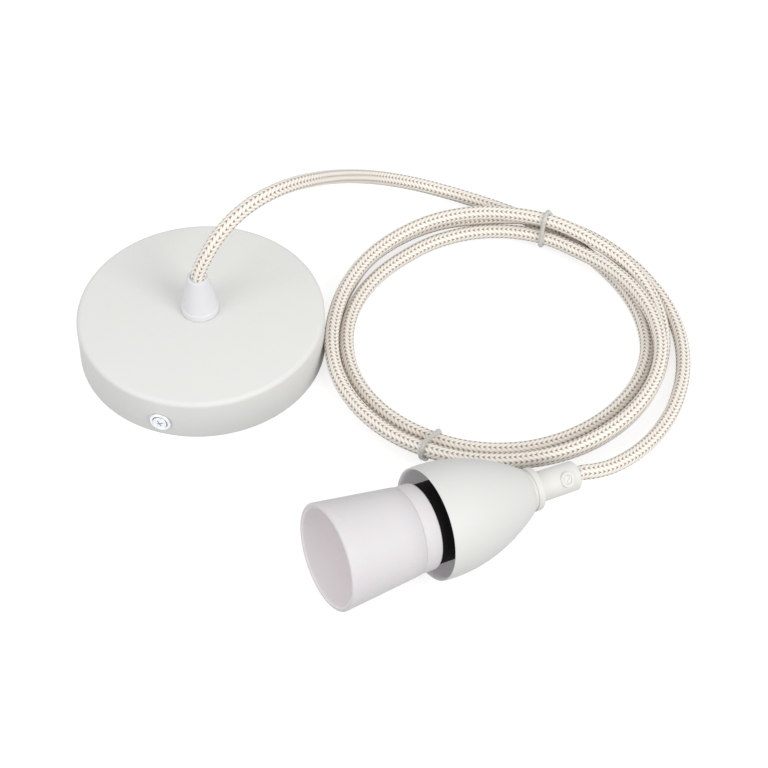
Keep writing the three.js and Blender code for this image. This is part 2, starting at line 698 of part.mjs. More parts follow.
// Black moulded body: a wide barrel with a narrower front spigot for the neck ring.
function holderBody() {
  const outline = [
    [SHELL_SPIGOT_INNER, SHELL_FRONT],
    [bodySpigotRadius(), SHELL_FRONT],
    [bodySpigotRadius(), BODY_FRONT],
    [BODY_RADIUS, BODY_FRONT],
    [BODY_RADIUS, BODY_REAR],
    [BODY_RADIUS - BODY_WALL, BODY_REAR],
    [BODY_RADIUS - BODY_WALL, BODY_FRONT + BODY_SHOULDER],
    [SHELL_SPIGOT_INNER, BODY_FRONT + BODY_SHOULDER],
  ];
  return piece('holder_body', turned(outline, FINE_SIDES), BLACK_PLASTIC);
}

// Domed rear cap of the body, with a short neck for the threaded tube.
function holderCap() {
  const domeEnd = CAP_FRONT + CAP_DOME_LENGTH;
  const outline = [
    [BODY_RADIUS - CAP_WALL, CAP_FRONT],
    [BODY_RADIUS, CAP_FRONT],
    [BODY_RADIUS - CAP_WALL / 2, CAP_FRONT + CAP_WALL],
    [CAP_DOME_RADIUS, domeEnd - CAP_WALL / 2],
    [CAP_NECK_RADIUS, domeEnd],
    [CAP_NECK_RADIUS, CAP_REAR],
    [THREAD_HOLE_RADIUS, CAP_REAR],
    [THREAD_HOLE_RADIUS, domeEnd - CAP_WALL],
    [CAP_DOME_RADIUS - CAP_WALL, domeEnd - 2 * CAP_WALL],
    [BODY_RADIUS - 2 * CAP_WALL, CAP_FRONT + CAP_WALL],
  ];
  return piece('holder_cap', turned(outline, FINE_SIDES), BLACK_PLASTIC);
}

// Rolled sheet shell with the round waves of the bulb thread and a floor with a hole.
function screwShell() {
  const wave = (offset) => {
    const points = [];
    for (let i = 0; i <= 2 * SHELL_TURNS; i++) {
      const radius = i % 2 ? SHELL_ROOT_RADIUS : SHELL_CREST_RADIUS;
      points.push([radius + offset, SHELL_FRONT + SHELL_COLLAR + (i * SHELL_PITCH) / 2]);
    }
    return points;
  };
  const outline = [
    [SHELL_CREST_RADIUS, SHELL_FRONT],
    [SHELL_CREST_RADIUS + SHELL_SHEET, SHELL_FRONT],
    ...wave(SHELL_SHEET).slice(0, -1),
    [SHELL_CREST_RADIUS + SHELL_SHEET, SHELL_REAR + SHELL_SHEET],
    [SHELL_FLOOR_HOLE_RADIUS, SHELL_REAR + SHELL_SHEET],
    [SHELL_FLOOR_HOLE_RADIUS, SHELL_REAR],
    ...wave(0).reverse(),
  ];
  return piece('bulb_screw_shell', turned(outline, ROUND_SIDES), NICKEL);
}

function terminalSpots() {
  return [-1, 1].map((side) => side * TERMINAL_OFFSET);
}

// Ceramic disc that closes the shell, with a front boss for the middle contact.
function insulator() {
  const flange = BODY_RADIUS - BODY_WALL - FIT_GAP;
  const boss = Math.min(INSULATOR_BOSS_RADIUS, SHELL_FLOOR_HOLE_RADIUS - FIT_GAP);
  const outline = [
    [0, INSULATOR_FRONT - INSULATOR_BOSS_LENGTH / 4],
    [boss, INSULATOR_FRONT - INSULATOR_BOSS_LENGTH / 4],
    [boss, INSULATOR_FRONT],
    [flange, INSULATOR_FRONT],
    [flange, INSULATOR_REAR],
    [INSULATOR_BOSS_RADIUS, INSULATOR_REAR],
    [INSULATOR_BOSS_RADIUS, INSULATOR_REAR + INSULATOR_BOSS_LENGTH],
    [0, INSULATOR_REAR + INSULATOR_BOSS_LENGTH],
  ];
  const holeRadius = TERMINAL_SHANK_RADIUS + FIT_GAP;
  const holeStart = INSULATOR_REAR - TERMINAL_SHANK_LENGTH - FIT_GAP;
  const holes = terminalSpots().map((x) =>
    bar(holeRadius, holeStart, 2 * TERMINAL_SHANK_LENGTH).translate(x, 0, 0));
  return piece('holder_insulator', carve(turned(outline, ROUND_SIDES), holes), CERAMIC);
}

// Bent brass tongue that touches the tip of the bulb.
function centreContact() {
  const foot = INSULATOR_FRONT - INSULATOR_BOSS_LENGTH / 4 - FIT_GAP;
  const outline = new THREE.Shape();
  outline.moveTo(-CONTACT_REACH, foot);
  outline.lineTo(-CONTACT_REACH + CONTACT_FOOT, foot);
  outline.lineTo(0, foot - CONTACT_RISE + CONTACT_SHEET);
  outline.lineTo(CONTACT_REACH, foot - CONTACT_RISE + 2 * CONTACT_SHEET);
  outline.lineTo(CONTACT_REACH, foot - CONTACT_RISE + CONTACT_SHEET);
  outline.lineTo(0, foot - CONTACT_RISE);
  outline.lineTo(-CONTACT_REACH + CONTACT_FOOT - CONTACT_SHEET, foot - CONTACT_SHEET);
  outline.lineTo(-CONTACT_REACH, foot - CONTACT_SHEET);
  outline.closePath();
  const strip = new THREE.ExtrudeGeometry(outline, { depth: CONTACT_WIDTH, bevelEnabled: false })
    .translate(0, 0, -CONTACT_WIDTH / 2)
    .rotateX(Math.PI / 2);
  return piece('centre_contact', strip, BRASS);
}

function holderTerminal(name, x) {
  const shape = slottedScrew(
    TERMINAL_SHANK_RADIUS, TERMINAL_RADIUS, INSULATOR_REAR - TERMINAL_SHANK_LENGTH,
    INSULATOR_REAR + FIT_GAP, TERMINAL_HEAD_HEIGHT);
  return piece(name, shape.translate(x, 0, 0), BRASS);
}

// The cord inside the threaded tube and the grip, up to where its braid is stripped.
function cordInHolder() {
  const start = TUBE_FRONT - CORD_END_INSET;
  return piece('cord_end_in_holder', bar(CORD_RADIUS, start, GRIP_REAR - start, CORD_SIDES), BRAID);
}

// Insulated conductor from the stripped cord to the side of its terminal screw.
function holderWire(name, side) {
  const start = TUBE_FRONT - CORD_END_INSET - FIT_GAP;
  const end = INSULATOR_REAR + 2 * FIT_GAP + WIRE_RADIUS;
  const from = side * WIRE_PITCH_RADIUS;
  const to = side * TERMINAL_OFFSET;
  const clear = side * (INSULATOR_BOSS_RADIUS + WIRE_RADIUS + 2 * FIT_GAP);
  const route = [
    [from, 0, start],
    [from, 0, start - WIRE_RADIUS],
    [(from + clear) / 2, TERMINAL_WIRE_INSET / 2, INSULATOR_REAR + INSULATOR_BOSS_LENGTH + 4 * WIRE_RADIUS],
    [clear, TERMINAL_WIRE_INSET, INSULATOR_REAR + INSULATOR_BOSS_LENGTH],
    [to, TERMINAL_WIRE_INSET, end],
    [to, TERMINAL_RADIUS + WIRE_RADIUS + FIT_GAP - WIRE_RADIUS / 4, end],
  ];
  const shape = cordAlong(route, WIRE_RADIUS, WIRE_SIDES, WIRE_STEPS);
  return piece(`${name}_wire_in_holder`, shape, finish(WIRE_COLOURS[name], WIRE_ROUGHNESS, 0));
}

function bellRadius(place) {
  return BELL_RADIUS * (1 - ((place - BELL_WIDEST) / BELL_CURVE_LENGTH) ** 2);
}

function bellPlaces() {
  return Array.from({ length: BELL_STEPS + 1 }, (_, i) => mix(BELL_FRONT, BELL_REAR, i / BELL_STEPS));
}

// Spun bell over the body: an even wall that closes to a flat rear end with a hole.
function bellCover() {
  const outer = bellPlaces().map((place) => [bellRadius(place), place]);
  const innerEnd = BELL_REAR - BELL_WALL;
  const inner = bellPlaces()
    .map((place) => {
      const slope = (2 * BELL_RADIUS * (place - BELL_WIDEST)) / BELL_CURVE_LENGTH ** 2;
      const tilt = Math.hypot(1, slope);
      return [bellRadius(place) - BELL_WALL / tilt, place - (BELL_WALL * slope) / tilt];
    })
    .filter(([, place]) => place < innerEnd - BELL_WALL)
    .map((point, i) => (i ? point : [bellRadius(BELL_FRONT) - BELL_RIM_WALL, BELL_FRONT]));
  const outline = [
    ...outer,
    [THREAD_HOLE_RADIUS, BELL_REAR],
    [THREAD_HOLE_RADIUS, innerEnd],
    [bellRadius(innerEnd) - 2 * BELL_WALL, innerEnd],
    ...inner.reverse(),
  ];
  return piece('bell_cover', turned(outline, FINE_SIDES), WHITE_PAINT);
}

function collarNut() {
  const outline = [
    [THREAD_HOLE_RADIUS, COLLAR_FRONT],
    [COLLAR_RADIUS - COLLAR_CHAMFER, COLLAR_FRONT],
    [COLLAR_RADIUS, COLLAR_FRONT + COLLAR_CHAMFER],
    [COLLAR_RADIUS, COLLAR_REAR - COLLAR_CHAMFER],
    [COLLAR_RADIUS - COLLAR_CHAMFER, COLLAR_REAR],
    [THREAD_HOLE_RADIUS, COLLAR_REAR],
  ];
  return piece('collar_nut', turned(outline, ROUND_SIDES), IVORY_PLASTIC);
}

function threadedTube() {
  const outline = [
    [CORD_BORE_RADIUS, TUBE_FRONT],
    [THREAD_RADIUS, TUBE_FRONT],
    [THREAD_RADIUS, TUBE_REAR],
    [CORD_BORE_RADIUS, TUBE_REAR],
  ];
  return piece('threaded_tube', turned(outline, ROUND_SIDES), ZINC_STEEL);
}

function bossPlace() {
  return GRIP_REAR - GRIP_BOSS_INSET;
}

// Turns a shape drawn along +Z so that it points out of the grip at the boss.
function atBoss(geometry) {
  return geometry
    .rotateY(Math.PI / 2)
    .translate(0, 0, bossPlace())
    .rotateZ(radians(GRIP_BOSS_AZIMUTH));
}

// Side cord grip: a short barrel on the threaded tube, with a round boss for a grub screw.
function sideGrip() {
  const barrel = turned(
    [
      [0, GRIP_FRONT],
      [GRIP_RADIUS, GRIP_FRONT],
      ...arc(GRIP_REAR_RADIUS - GRIP_ROUND, GRIP_REAR - GRIP_ROUND, GRIP_ROUND, 0, 90),
      [0, GRIP_REAR],
    ],
    ROUND_SIDES,
  );
  const boss = atBoss(bar(GRIP_BOSS_RADIUS, 0, GRIP_RADIUS + GRIP_BOSS_RISE, ROUND_SIDES));
  const bore = bar(CORD_BORE_RADIUS, GRIP_FRONT - CUT_MARGIN, GRIP_LENGTH + 2 * CUT_MARGIN, ROUND_SIDES);
  const threadDepth = GRIP_THREAD_DEPTH + CUT_MARGIN;
  const thread = bar(THREAD_HOLE_RADIUS, GRIP_FRONT - CUT_MARGIN, threadDepth, ROUND_SIDES);
  const grubHole = atBoss(bar(GRUB_RADIUS + FIT_GAP, 0, GRIP_RADIUS + GRIP_BOSS_RISE + CUT_MARGIN));
  const blank = shapeOf(solid(barrel).add(solid(boss)));
  return piece('side_cord_grip', carve(blank, [bore, thread, grubHole]), IVORY_PLASTIC);
}

function grubScrew() {
  const base = CORD_RADIUS + FIT_GAP;
  const top = GRIP_RADIUS + GRIP_BOSS_RISE - GRUB_SINK;
  const slot = box(3 * GRUB_RADIUS, SLOT_WIDTH, SLOT_DEPTH + CUT_MARGIN, 0, 0, top - SLOT_DEPTH);
  return piece('grip_grub_screw', atBoss(carve(bar(GRUB_RADIUS, base, top - base), [slot])), IVORY_PLASTIC);
}

// Height of the axis at the mouth that lets the bell rest on the surface.
function restingHeight() {
  const pitch = radians(HOLDER_PITCH);
  const depth = (place) => bellRadius(place) * Math.cos(pitch) - place * Math.sin(pitch);
  return Math.max(...bellPlaces().map(depth));
}

// Unit direction of the lampholder's axis, from its mouth to its cord.
function holderAxis() {
  const azimuth = radians(HOLDER_AZIMUTH);
  const pitch = radians(HOLDER_PITCH);
  return new THREE.Vector3(
    Math.cos(pitch) * Math.cos(azimuth), Math.cos(pitch) * Math.sin(azimuth), Math.sin(pitch));
}

// A point on the lampholder's axis, as [x, y, z], at a distance from its mouth.
function onHolderAxis(distance) {
  const mouth = new THREE.Vector3(HOLDER_X, HOLDER_Y, restingHeight());
  return mouth.addScaledVector(holderAxis(), distance).toArray();
}

function holderGroup() {
  const along = holderAxis();
  const across = new THREE.Vector3(-along.y, along.x, 0).normalize();
  const up = new THREE.Vector3().crossVectors(along, across);
  const holder = new THREE.Group();
  holder.quaternion.setFromRotationMatrix(new THREE.Matrix4().makeBasis(across, up, along));
  holder.position.set(HOLDER_X, HOLDER_Y, restingHeight());
  holder.add(frontSleeve(), neckRing(), holderBody(), holderCap());
  holder.add(screwShell(), insulator(), centreContact());
  const [liveX, neutralX] = terminalSpots();
  holder.add(holderTerminal('live_terminal_screw', liveX));
  holder.add(holderTerminal('neutral_terminal_screw', neutralX));
  holder.add(cordInHolder(), holderWire('live', -1), holderWire('neutral', 1));
  holder.add(bellCover(), collarNut(), threadedTube(), sideGrip(), grubScrew());
  return holder;
}

// Outer shape of the tied coil: a ring with rounded edges that lies on the surface.
function cordCoil() {
  const inner = COIL_INNER_RADIUS + COIL_ROUND;
  const outer = COIL_OUTER_RADIUS - COIL_ROUND;
  const outline = [
    ...arc(outer, COIL_ROUND, COIL_ROUND, -90, 0),
    ...arc(outer, COIL_HEIGHT - COIL_ROUND, COIL_ROUND, 0, 90),
    ...arc(inner, COIL_HEIGHT - COIL_ROUND, COIL_ROUND, 90, 180),
    ...arc(inner, COIL_ROUND, COIL_ROUND, 180, 270),
  ];
  return piece('cord_coil', turned(outline, FINE_SIDES).translate(COIL_X, COIL_Y, 0), BRAID);
}

// Round nylon loop over the top and sides of the coil, ending at the surface beside it.
function coilTie(name, angle) {
  const gap = TIE_RADIUS + 2 * FIT_GAP;
  const left = COIL_INNER_RADIUS - gap;
  const right = COIL_OUTER_RADIUS + gap;
  const top = COIL_HEIGHT + gap;
  const corner = COIL_ROUND + gap;
  const outline = [
    [left, TIE_RADIUS + FIT_GAP],
    ...arc(left + corner, top - corner, corner, 180, 90),
    ...arc(right - corner, top - corner, corner, 90, 0),
    [right, TIE_RADIUS + FIT_GAP],
  ];
  const route = outline.map(([radius, height]) => [radius, 0, height]);
  const loop = cordAlong(route, TIE_RADIUS, TIE_SIDES, TIE_STEPS);
  return piece(name, loop.rotateZ(radians(angle)).translate(COIL_X, COIL_Y, 0), TIE_NYLON);
}

function cordGroup() {
  const cord = new THREE.Group();
  const leadStart = CONE_TIP + FIT_GAP;
  const lead = [[0, 0, leadStart], [0, 0, leadStart + STRAIGHT_EXIT], ...LEAD_ROUTE];
  const tailEnd = GRIP_REAR + FIT_GAP;
  const tail = [...TAIL_ROUTE, onHolderAxis(tailEnd + STRAIGHT_EXIT), onHolderAxis(tailEnd)];
  cord.add(piece('cord_lead', cordAlong(lead, CORD_RADIUS, CORD_SIDES, LEAD_STEPS), BRAID));
  cord.add(piece('cord_tail', cordAlong(tail, CORD_RADIUS, CORD_SIDES, TAIL_STEPS), BRAID));
  cord.add(cordCoil(), coilTie('coil_tie_rear', TIE_TOP_ANGLE), coilTie('coil_tie_front', TIE_BOTTOM_ANGLE));
  return cord;
}

const pendantCordSet = new THREE.Group();
pendantCordSet.add(roseGroup(), holderGroup(), cordGroup());

export default pendantCordSet;
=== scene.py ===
"""Dresses the pendant cord set: ceiling rose, braided cord tied in a coil, and bell-covered lampholder."""

import json
import logging
import math
from dataclasses import dataclass, field
from enum import Enum
from typing import Callable, Iterable, Sequence

import bmesh
import bpy
from mathutils import Matrix, Vector


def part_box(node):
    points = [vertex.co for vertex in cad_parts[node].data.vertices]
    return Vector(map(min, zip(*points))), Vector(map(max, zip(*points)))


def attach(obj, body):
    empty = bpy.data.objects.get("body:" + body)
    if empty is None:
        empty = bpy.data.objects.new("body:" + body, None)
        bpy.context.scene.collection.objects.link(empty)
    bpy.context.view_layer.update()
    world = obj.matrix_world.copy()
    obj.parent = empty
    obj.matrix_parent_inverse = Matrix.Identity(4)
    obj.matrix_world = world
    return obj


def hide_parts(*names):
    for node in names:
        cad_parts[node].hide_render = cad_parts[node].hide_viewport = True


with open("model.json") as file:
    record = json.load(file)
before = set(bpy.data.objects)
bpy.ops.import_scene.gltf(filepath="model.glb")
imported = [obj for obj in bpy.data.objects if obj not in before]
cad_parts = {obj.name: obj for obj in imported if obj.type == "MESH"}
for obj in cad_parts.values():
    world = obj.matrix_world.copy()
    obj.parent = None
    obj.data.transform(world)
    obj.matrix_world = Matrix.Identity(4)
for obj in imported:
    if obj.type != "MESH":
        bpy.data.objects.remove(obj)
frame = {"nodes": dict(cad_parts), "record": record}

log = logging.getLogger("pendant")

MM = 0.001

# The Mix node has a set of sockets for each kind of data; these are its colour ones
MIX_COLOUR_INPUTS = (0, 6, 7)
MIX_COLOUR_OUTPUT = 2

ROOT = "root"

Point = tuple[float, float, float]
Profile = list[tuple[float, float]]
Ring = Sequence[bmesh.types.BMVert]


class Sides(Enum):
    """How many facets a turned piece has around its axis."""

    BIG = 128
    MEDIUM = 72
    SMALL = 40


@dataclass(frozen=True)
class Corner:
    """A corner of a turned outline, in millimetres.

    Args:
        radius: Distance from the axis.
        height: Place along the axis.
        fillet: Radius that rounds the corner, or 0 for a sharp one.
    """

    radius: float
    height: float
    fillet: float = 0.0


def rounded(corners: Sequence[Corner], closed: bool = True, steps: int = 6) -> Profile:
    """Turns corners with fillets into outline points.

    Args:
        corners: The corners in order.
        closed: Whether the last corner joins the first.
        steps: Segments in each fillet.

    Returns:
        The outline's points as (radius, height) pairs.
    """
    points: Profile = []
    count = len(corners)
    for i, corner in enumerate(corners):
        at_end = not closed and i in (0, count - 1)
        here = Vector((corner.radius, corner.height))
        if corner.fillet == 0 or at_end:
            points.append((here.x, here.y))
            continue
        before = corners[i - 1]
        after = corners[(i + 1) % count]
        back = (Vector((before.radius, before.height)) - here).normalized()
        ahead = (Vector((after.radius, after.height)) - here).normalized()
        half = back.angle(ahead) / 2
        middle = here + (back + ahead).normalized() * corner.fillet / math.sin(half)
        reach = corner.fillet / math.tan(half)
        start = here + back * reach - middle
        end = here + ahead * reach - middle
        for step in range(steps + 1):
            share = step / steps
            spoke = (start * (1 - share) + end * share).normalized() * corner.fillet
            points.append(((middle + spoke).x, (middle + spoke).y))
    return points


def shares(steps: int) -> list[float]:
    """Even shares from 0 to 1, both ends in."""
    return [i / steps for i in range(steps + 1)]


def arc(middle: tuple[float, float], radius: float, start: float, end: float, steps: int) -> Profile:
    """Points on part of a circle.

    Args:
        middle: The circle's middle.
        radius: Its radius.
        start: Angle of the first point, in degrees, from the outward direction.
        end: Angle of the last point.
        steps: Segments between them.

    Returns:
        The points, both ends in.
    """
    turns = [math.radians(start + (end - start) * share) for share in shares(steps)]
    return [(middle[0] + radius * math.cos(turn), middle[1] + radius * math.sin(turn)) for turn in turns]


class NodeGraph:
    """A material's node tree around one Principled shader."""

    def __init__(self, name: str) -> None:
        """Starts an empty material of that name."""
        self.material = bpy.data.materials.new(name)
        self.material.use_nodes = True
        self.tree = self.material.node_tree
        self.shader = self.tree.nodes["Principled BSDF"]

    def node(self, kind: str, inputs: dict | None = None, **settings: object) -> bpy.types.Node:
        """Adds a node.

        Args:
            kind: The node's type name.
            inputs: Socket names with a value or another node's output socket.
            **settings: The node's own properties.

        Returns:
            The new node.
        """
        made = self.tree.nodes.new(kind)
        for key, value in settings.items():
            setattr(made, key, value)
        for key, value in (inputs or {}).items():
            self.feed(made.inputs[key], value)
        return made

    def feed(self, socket: bpy.types.NodeSocket, value: object) -> None:
        """Links a socket to another node's output, or sets its value."""
        if isinstance(value, bpy.types.NodeSocket):
            self.tree.links.new(value, socket)
        else:
            socket.default_value = value

    def set(self, **inputs: object) -> None:
        """Feeds the shader's inputs, with underscores in place of spaces."""
        for key, value in inputs.items():
            self.feed(self.shader.inputs[key.replace("_", " ")], value)

    def place(self) -> bpy.types.NodeSocket:
        """The point on the surface, in metres from the object's origin."""
        return self.node("ShaderNodeTexCoord").outputs["Object"]

    def noise(self, size_mm: float, detail: float = 3.0, place: object = None) -> bpy.types.NodeSocket:
        """A cloudy value from 0 to 1.

        Args:
            size_mm: Rough size of one cloud.
            detail: How many finer layers it has.
            place: Where to look it up, or None for the surface point.

        Returns:
            The factor socket.
        """
        inputs = {"Vector": place or self.place(), "Scale": 1 / (size_mm * MM), "Detail": detail}
        return self.node("ShaderNodeTexNoise", inputs).outputs["Fac"]

    def math(self, operation: str, a: object, b: object = 0.0) -> bpy.types.NodeSocket:
        """One arithmetic step on values or sockets."""
        made = self.node("ShaderNodeMath", operation=operation)
        for socket, value in zip(made.inputs, (a, b)):
            self.feed(socket, value)
        return made.outputs[0]

    def span(self, value: object, low: float, high: float) -> bpy.types.NodeSocket:
        """Spreads a value from 0 to 1 over a range."""
        inputs = {"Value": value, "To Min": low, "To Max": high}
        return self.node("ShaderNodeMapRange", inputs).outputs["Result"]

    def blend(self, share: object, first: object, second: object) -> bpy.types.NodeSocket:
        """Mixes two colours.

        Args:
            share: 0 for the first, 1 for the second.
            first: A colour or a colour socket.
            second: A colour or a colour socket.

        Returns:
            The colour socket.
        """
        made = self.node("ShaderNodeMix", data_type="RGBA")
        for place, value in zip(MIX_COLOUR_INPUTS, (share, first, second)):
            self.feed(made.inputs[place], value)
        return made.outputs[MIX_COLOUR_OUTPUT]

    def relief(self, height: object, depth_mm: float) -> None:
        """Gives the shader a bump from a height of 0 to 1."""
        inputs = {"Height": height, "Distance": depth_mm * MM, "Strength": 1.0}
        self.set(Normal=self.node("ShaderNodeBump", inputs).outputs["Normal"])


def tone(colour: Point, share: float = 1.0) -> tuple[float, float, float, float]:
    """A linear colour with full alpha, darkened by a share."""
    return (colour[0] * share, colour[1] * share, colour[2] * share, 1.0)


class Finish:
    """A finish, which can be built as a material of any name."""

    def material(self, name: str) -> bpy.types.Material:
        """Builds the material.

        Args:
            name: The material's name.

        Returns:
            The material.
        """
        graph = NodeGraph(name)
        self.paint(graph)
        return graph.material

    def paint(self, graph: NodeGraph) -> None:
        """Sets the finish on the material's nodes."""
        raise NotImplementedError


@dataclass(frozen=True)
class PowderCoat(Finish):
    """Sprayed satin paint with a fine orange-peel surface.

    Args:
        colour: Linear colour.
        roughness: Mean roughness.
        peel_mm: Size of the orange peel.
        peel_depth_mm: Depth of the orange peel.
        cloud_mm: Size of the slight changes of colour.
        shine: How strongly the surface mirrors, against 0.5 for plain plastic.
        glow: Painted glow, an emission in the paint's own colour that brightens a hollow lying in shade,
            though the surface is no lamp.
    """

    colour: Point
    roughness: float = 0.45
    peel_mm: float = 0.9
    peel_depth_mm: float = 0.02
    cloud_mm: float = 38.0
    shine: float = 0.35
    glow: float = 0.0

    def paint(self, graph: NodeGraph) -> None:
        """Sets clouded colour, uneven gloss and orange peel, and the painted glow where it has one.

        Args:
            graph: The material's nodes.
        """
        cloud = graph.noise(self.cloud_mm, 2.0)
        graph.set(Base_Color=graph.blend(cloud, tone(self.colour, 0.975), tone(self.colour)))
        graph.set(Roughness=graph.span(graph.noise(6.0), self.roughness - 0.05, self.roughness + 0.07))
        graph.relief(graph.noise(self.peel_mm, 2.0), self.peel_depth_mm)
        graph.set(Specular_IOR_Level=self.shine)
        # Painted glow: emission that brightens the surface as if more light reached it
        if self.glow:
            graph.set(Emission_Color=tone(self.colour), Emission_Strength=self.glow)


@dataclass(frozen=True)
class MouldedPlastic(Finish):
    """Moulded plastic with a fine eroded texture and slight flow marks.

    Args:
        colour: Linear colour.
        roughness: Mean roughness.
        texture_mm: Size of the eroded texture.
        texture_depth_mm: Depth of the eroded texture.
        flow_mm: Size of the flow marks.
        scatter: How much light passes under the surface.
        scatter_mm: How far it passes.
        shine: How strongly the surface mirrors, against 0.5 for plain plastic.
    """

    colour: Point
    roughness: float = 0.4
    texture_mm: float = 0.35
    texture_depth_mm: float = 0.006
    flow_mm: float = 22.0
    scatter: float = 0.0
    scatter_mm: float = 1.5
    shine: float = 0.5

    def paint(self, graph: NodeGraph) -> None:
        """Sets flow marks, uneven gloss and an eroded texture, and light below the surface.

        Args:
            graph: The material's nodes.
        """
        stretched = graph.node("ShaderNodeMapping", {"Vector": graph.place(), "Scale": (1.0, 1.0, 0.4)})
        flow = graph.noise(self.flow_mm, 4.0, stretched.outputs["Vector"])
        graph.set(Base_Color=graph.blend(flow, tone(self.colour, 0.96), tone(self.colour)))
        graph.set(Roughness=graph.span(graph.noise(4.0), self.roughness - 0.05, self.roughness + 0.08))
        graph.relief(graph.noise(self.texture_mm, 2.0), self.texture_depth_mm)
        graph.set(Specular_IOR_Level=self.shine)
        if self.scatter:
            graph.set(Subsurface_Weight=self.scatter, Subsurface_Scale=self.scatter_mm * MM)


@dataclass(frozen=True)
class PlatedMetal(Finish):
    """Plated or bare metal with fine drawn lines and a little staining.

    Args:
        colour: Linear colour.
        roughness: Mean roughness.
        grain: Stretch of the drawn lines along each axis.
        line_mm: Size of the drawn lines across the grain.
        line_depth_mm: Depth of the drawn lines.
        stain_mm: Size of the stains.
    """

    colour: Point
    roughness: float = 0.32
    grain: Point = (1.0, 1.0, 12.0)
    line_mm: float = 0.8
    line_depth_mm: float = 0.012
    stain_mm: float = 9.0

    def paint(self, graph: NodeGraph) -> None:
        """Sets stains on the colour, and drawn lines in gloss and relief.

        Args:
            graph: The material's nodes.
        """
        drawn = graph.node("ShaderNodeMapping", {"Vector": graph.place(), "Scale": self.grain})
        lines = graph.noise(self.line_mm, 4.0, drawn.outputs["Vector"])
        stain = graph.noise(self.stain_mm, 5.0)
        graph.set(Base_Color=graph.blend(stain, tone(self.colour, 0.86), tone(self.colour)), Metallic=1.0)
        graph.set(Roughness=graph.span(lines, self.roughness - 0.09, self.roughness + 0.12))
        graph.relief(lines, self.line_depth_mm)


@dataclass(frozen=True)
class BraidedTextile(Finish):
    """Glossy yarns braided over the cord, which lie as rows of short slanted stitches, with painted shade in
    the gaps between them.

    Args:
        light: Colour of the yarn.
        shade: Colour of the painted shade in the small gaps where stitches of two rows meet and along the
            lines between stitches and rows.
        rows: Rows of stitches around the cord, the slant changing from row to row.
        pitch_mm: Length along the cord of one stitch.
        slant: Stitches that a row's slant spans.
        dot: Strength of the painted shade dots where stitches of two rows meet.
        stitch_seam: Strength of the painted shade line between two stitches of a row.
        row_seam: Strength of the painted shade line between two rows.
        stitch_share: Part of the relief that the stitches make, the rows making the rest.
        stitch_power: Fullness of a stitch's round section, 1 for a plain wave and less for a fuller one.
        row_power: Fullness of a row's round section.
        lint_mm: Size of the random unevenness of the painted shade in the gaps.
        depth_mm: Depth of the relief.
        roughness: Roughness of the yarn's crown.
    """

    light: Point
    shade: Point
    rows: int = 8
    pitch_mm: float = 2.4
    slant: float = 1.3
    dot: float = 2.3
    stitch_seam: float = 0.2
    row_seam: float = 0.1
    stitch_share: float = 0.55
    stitch_power: float = 0.7
    row_power: float = 0.6
    lint_mm: float = 1.1
    depth_mm: float = 0.11
    roughness: float = 0.38

    def paint(self, graph: NodeGraph) -> None:
        """Sets stitches and rows on the cord's own UV, which is turns around and metres along it, and
        painted shade in the gaps.

        Args:
            graph: The material's nodes.
        """
        split = graph.node("ShaderNodeSeparateXYZ", {"Vector": graph.node("ShaderNodeUVMap").outputs["UV"]})
        turn = graph.math("MULTIPLY", split.outputs["X"], self.rows)
        along = graph.math("DIVIDE", split.outputs["Y"], self.pitch_mm * MM)
        lean = graph.math("MULTIPLY", graph.math("PINGPONG", turn, 1.0), self.slant)
        stitch = self.crown(graph, graph.math("ADD", along, lean), self.stitch_power)
        row = self.crown(graph, turn, self.row_power)
        # Painted shade mask: darkest where stitches of two rows meet, fainter along the lines between
        # stitches and between rows, made uneven by noise
        stitch_gap = graph.math("SUBTRACT", 1.0, stitch)
        row_gap = graph.math("SUBTRACT", 1.0, row)
        both = graph.math("MULTIPLY", stitch_gap, row_gap)
        gap_painted_shade = self.total(graph, (both, self.dot), (stitch_gap, self.stitch_seam), (row_gap, self.row_seam))
        gap_painted_shade = graph.math("ADD", gap_painted_shade, graph.span(graph.noise(self.lint_mm), -0.06, 0.1))
        gap_painted_shade = graph.math("MINIMUM", graph.math("MAXIMUM", gap_painted_shade, 0.0), 1.0)
        # The yarn's colour, blended towards the painted shade colour by that mask
        graph.set(Base_Color=graph.blend(gap_painted_shade, tone(self.light), tone(self.shade)))
        graph.set(Roughness=graph.span(gap_painted_shade, self.roughness, 0.8))
        height = self.total(graph, (stitch, self.stitch_share), (row, 1 - self.stitch_share))
        graph.relief(height, self.depth_mm)

    @staticmethod
    def total(graph: NodeGraph, *shares: tuple[bpy.types.NodeSocket, float]) -> bpy.types.NodeSocket:
        """Adds up values, each times its own weight.

        Args:
            graph: The material's nodes.
            *shares: Each value's socket and weight.

        Returns:
            The sum's socket.
        """
        weighted = [graph.math("MULTIPLY", value, weight) for value, weight in shares]
        whole = weighted[0]
        for value in weighted[1:]:
            whole = graph.math("ADD", whole, value)
        return whole

    @staticmethod
    def crown(graph: NodeGraph, phase: bpy.types.NodeSocket, power: float) -> bpy.types.NodeSocket:
        """Round section of one stitch or row, 1 on its middle and 0 between two of them.

        Args:
            graph: The material's nodes.
            phase: Place across the stitches or rows, one unit for each.
            power: How flat the crown is, 1 for a plain wave and less for a flatter one.

        Returns:
            The height socket.
        """
        fold = graph.math("MULTIPLY", graph.math("FRACT", phase), math.pi)
        return graph.math("POWER", graph.math("SINE", fold), power)


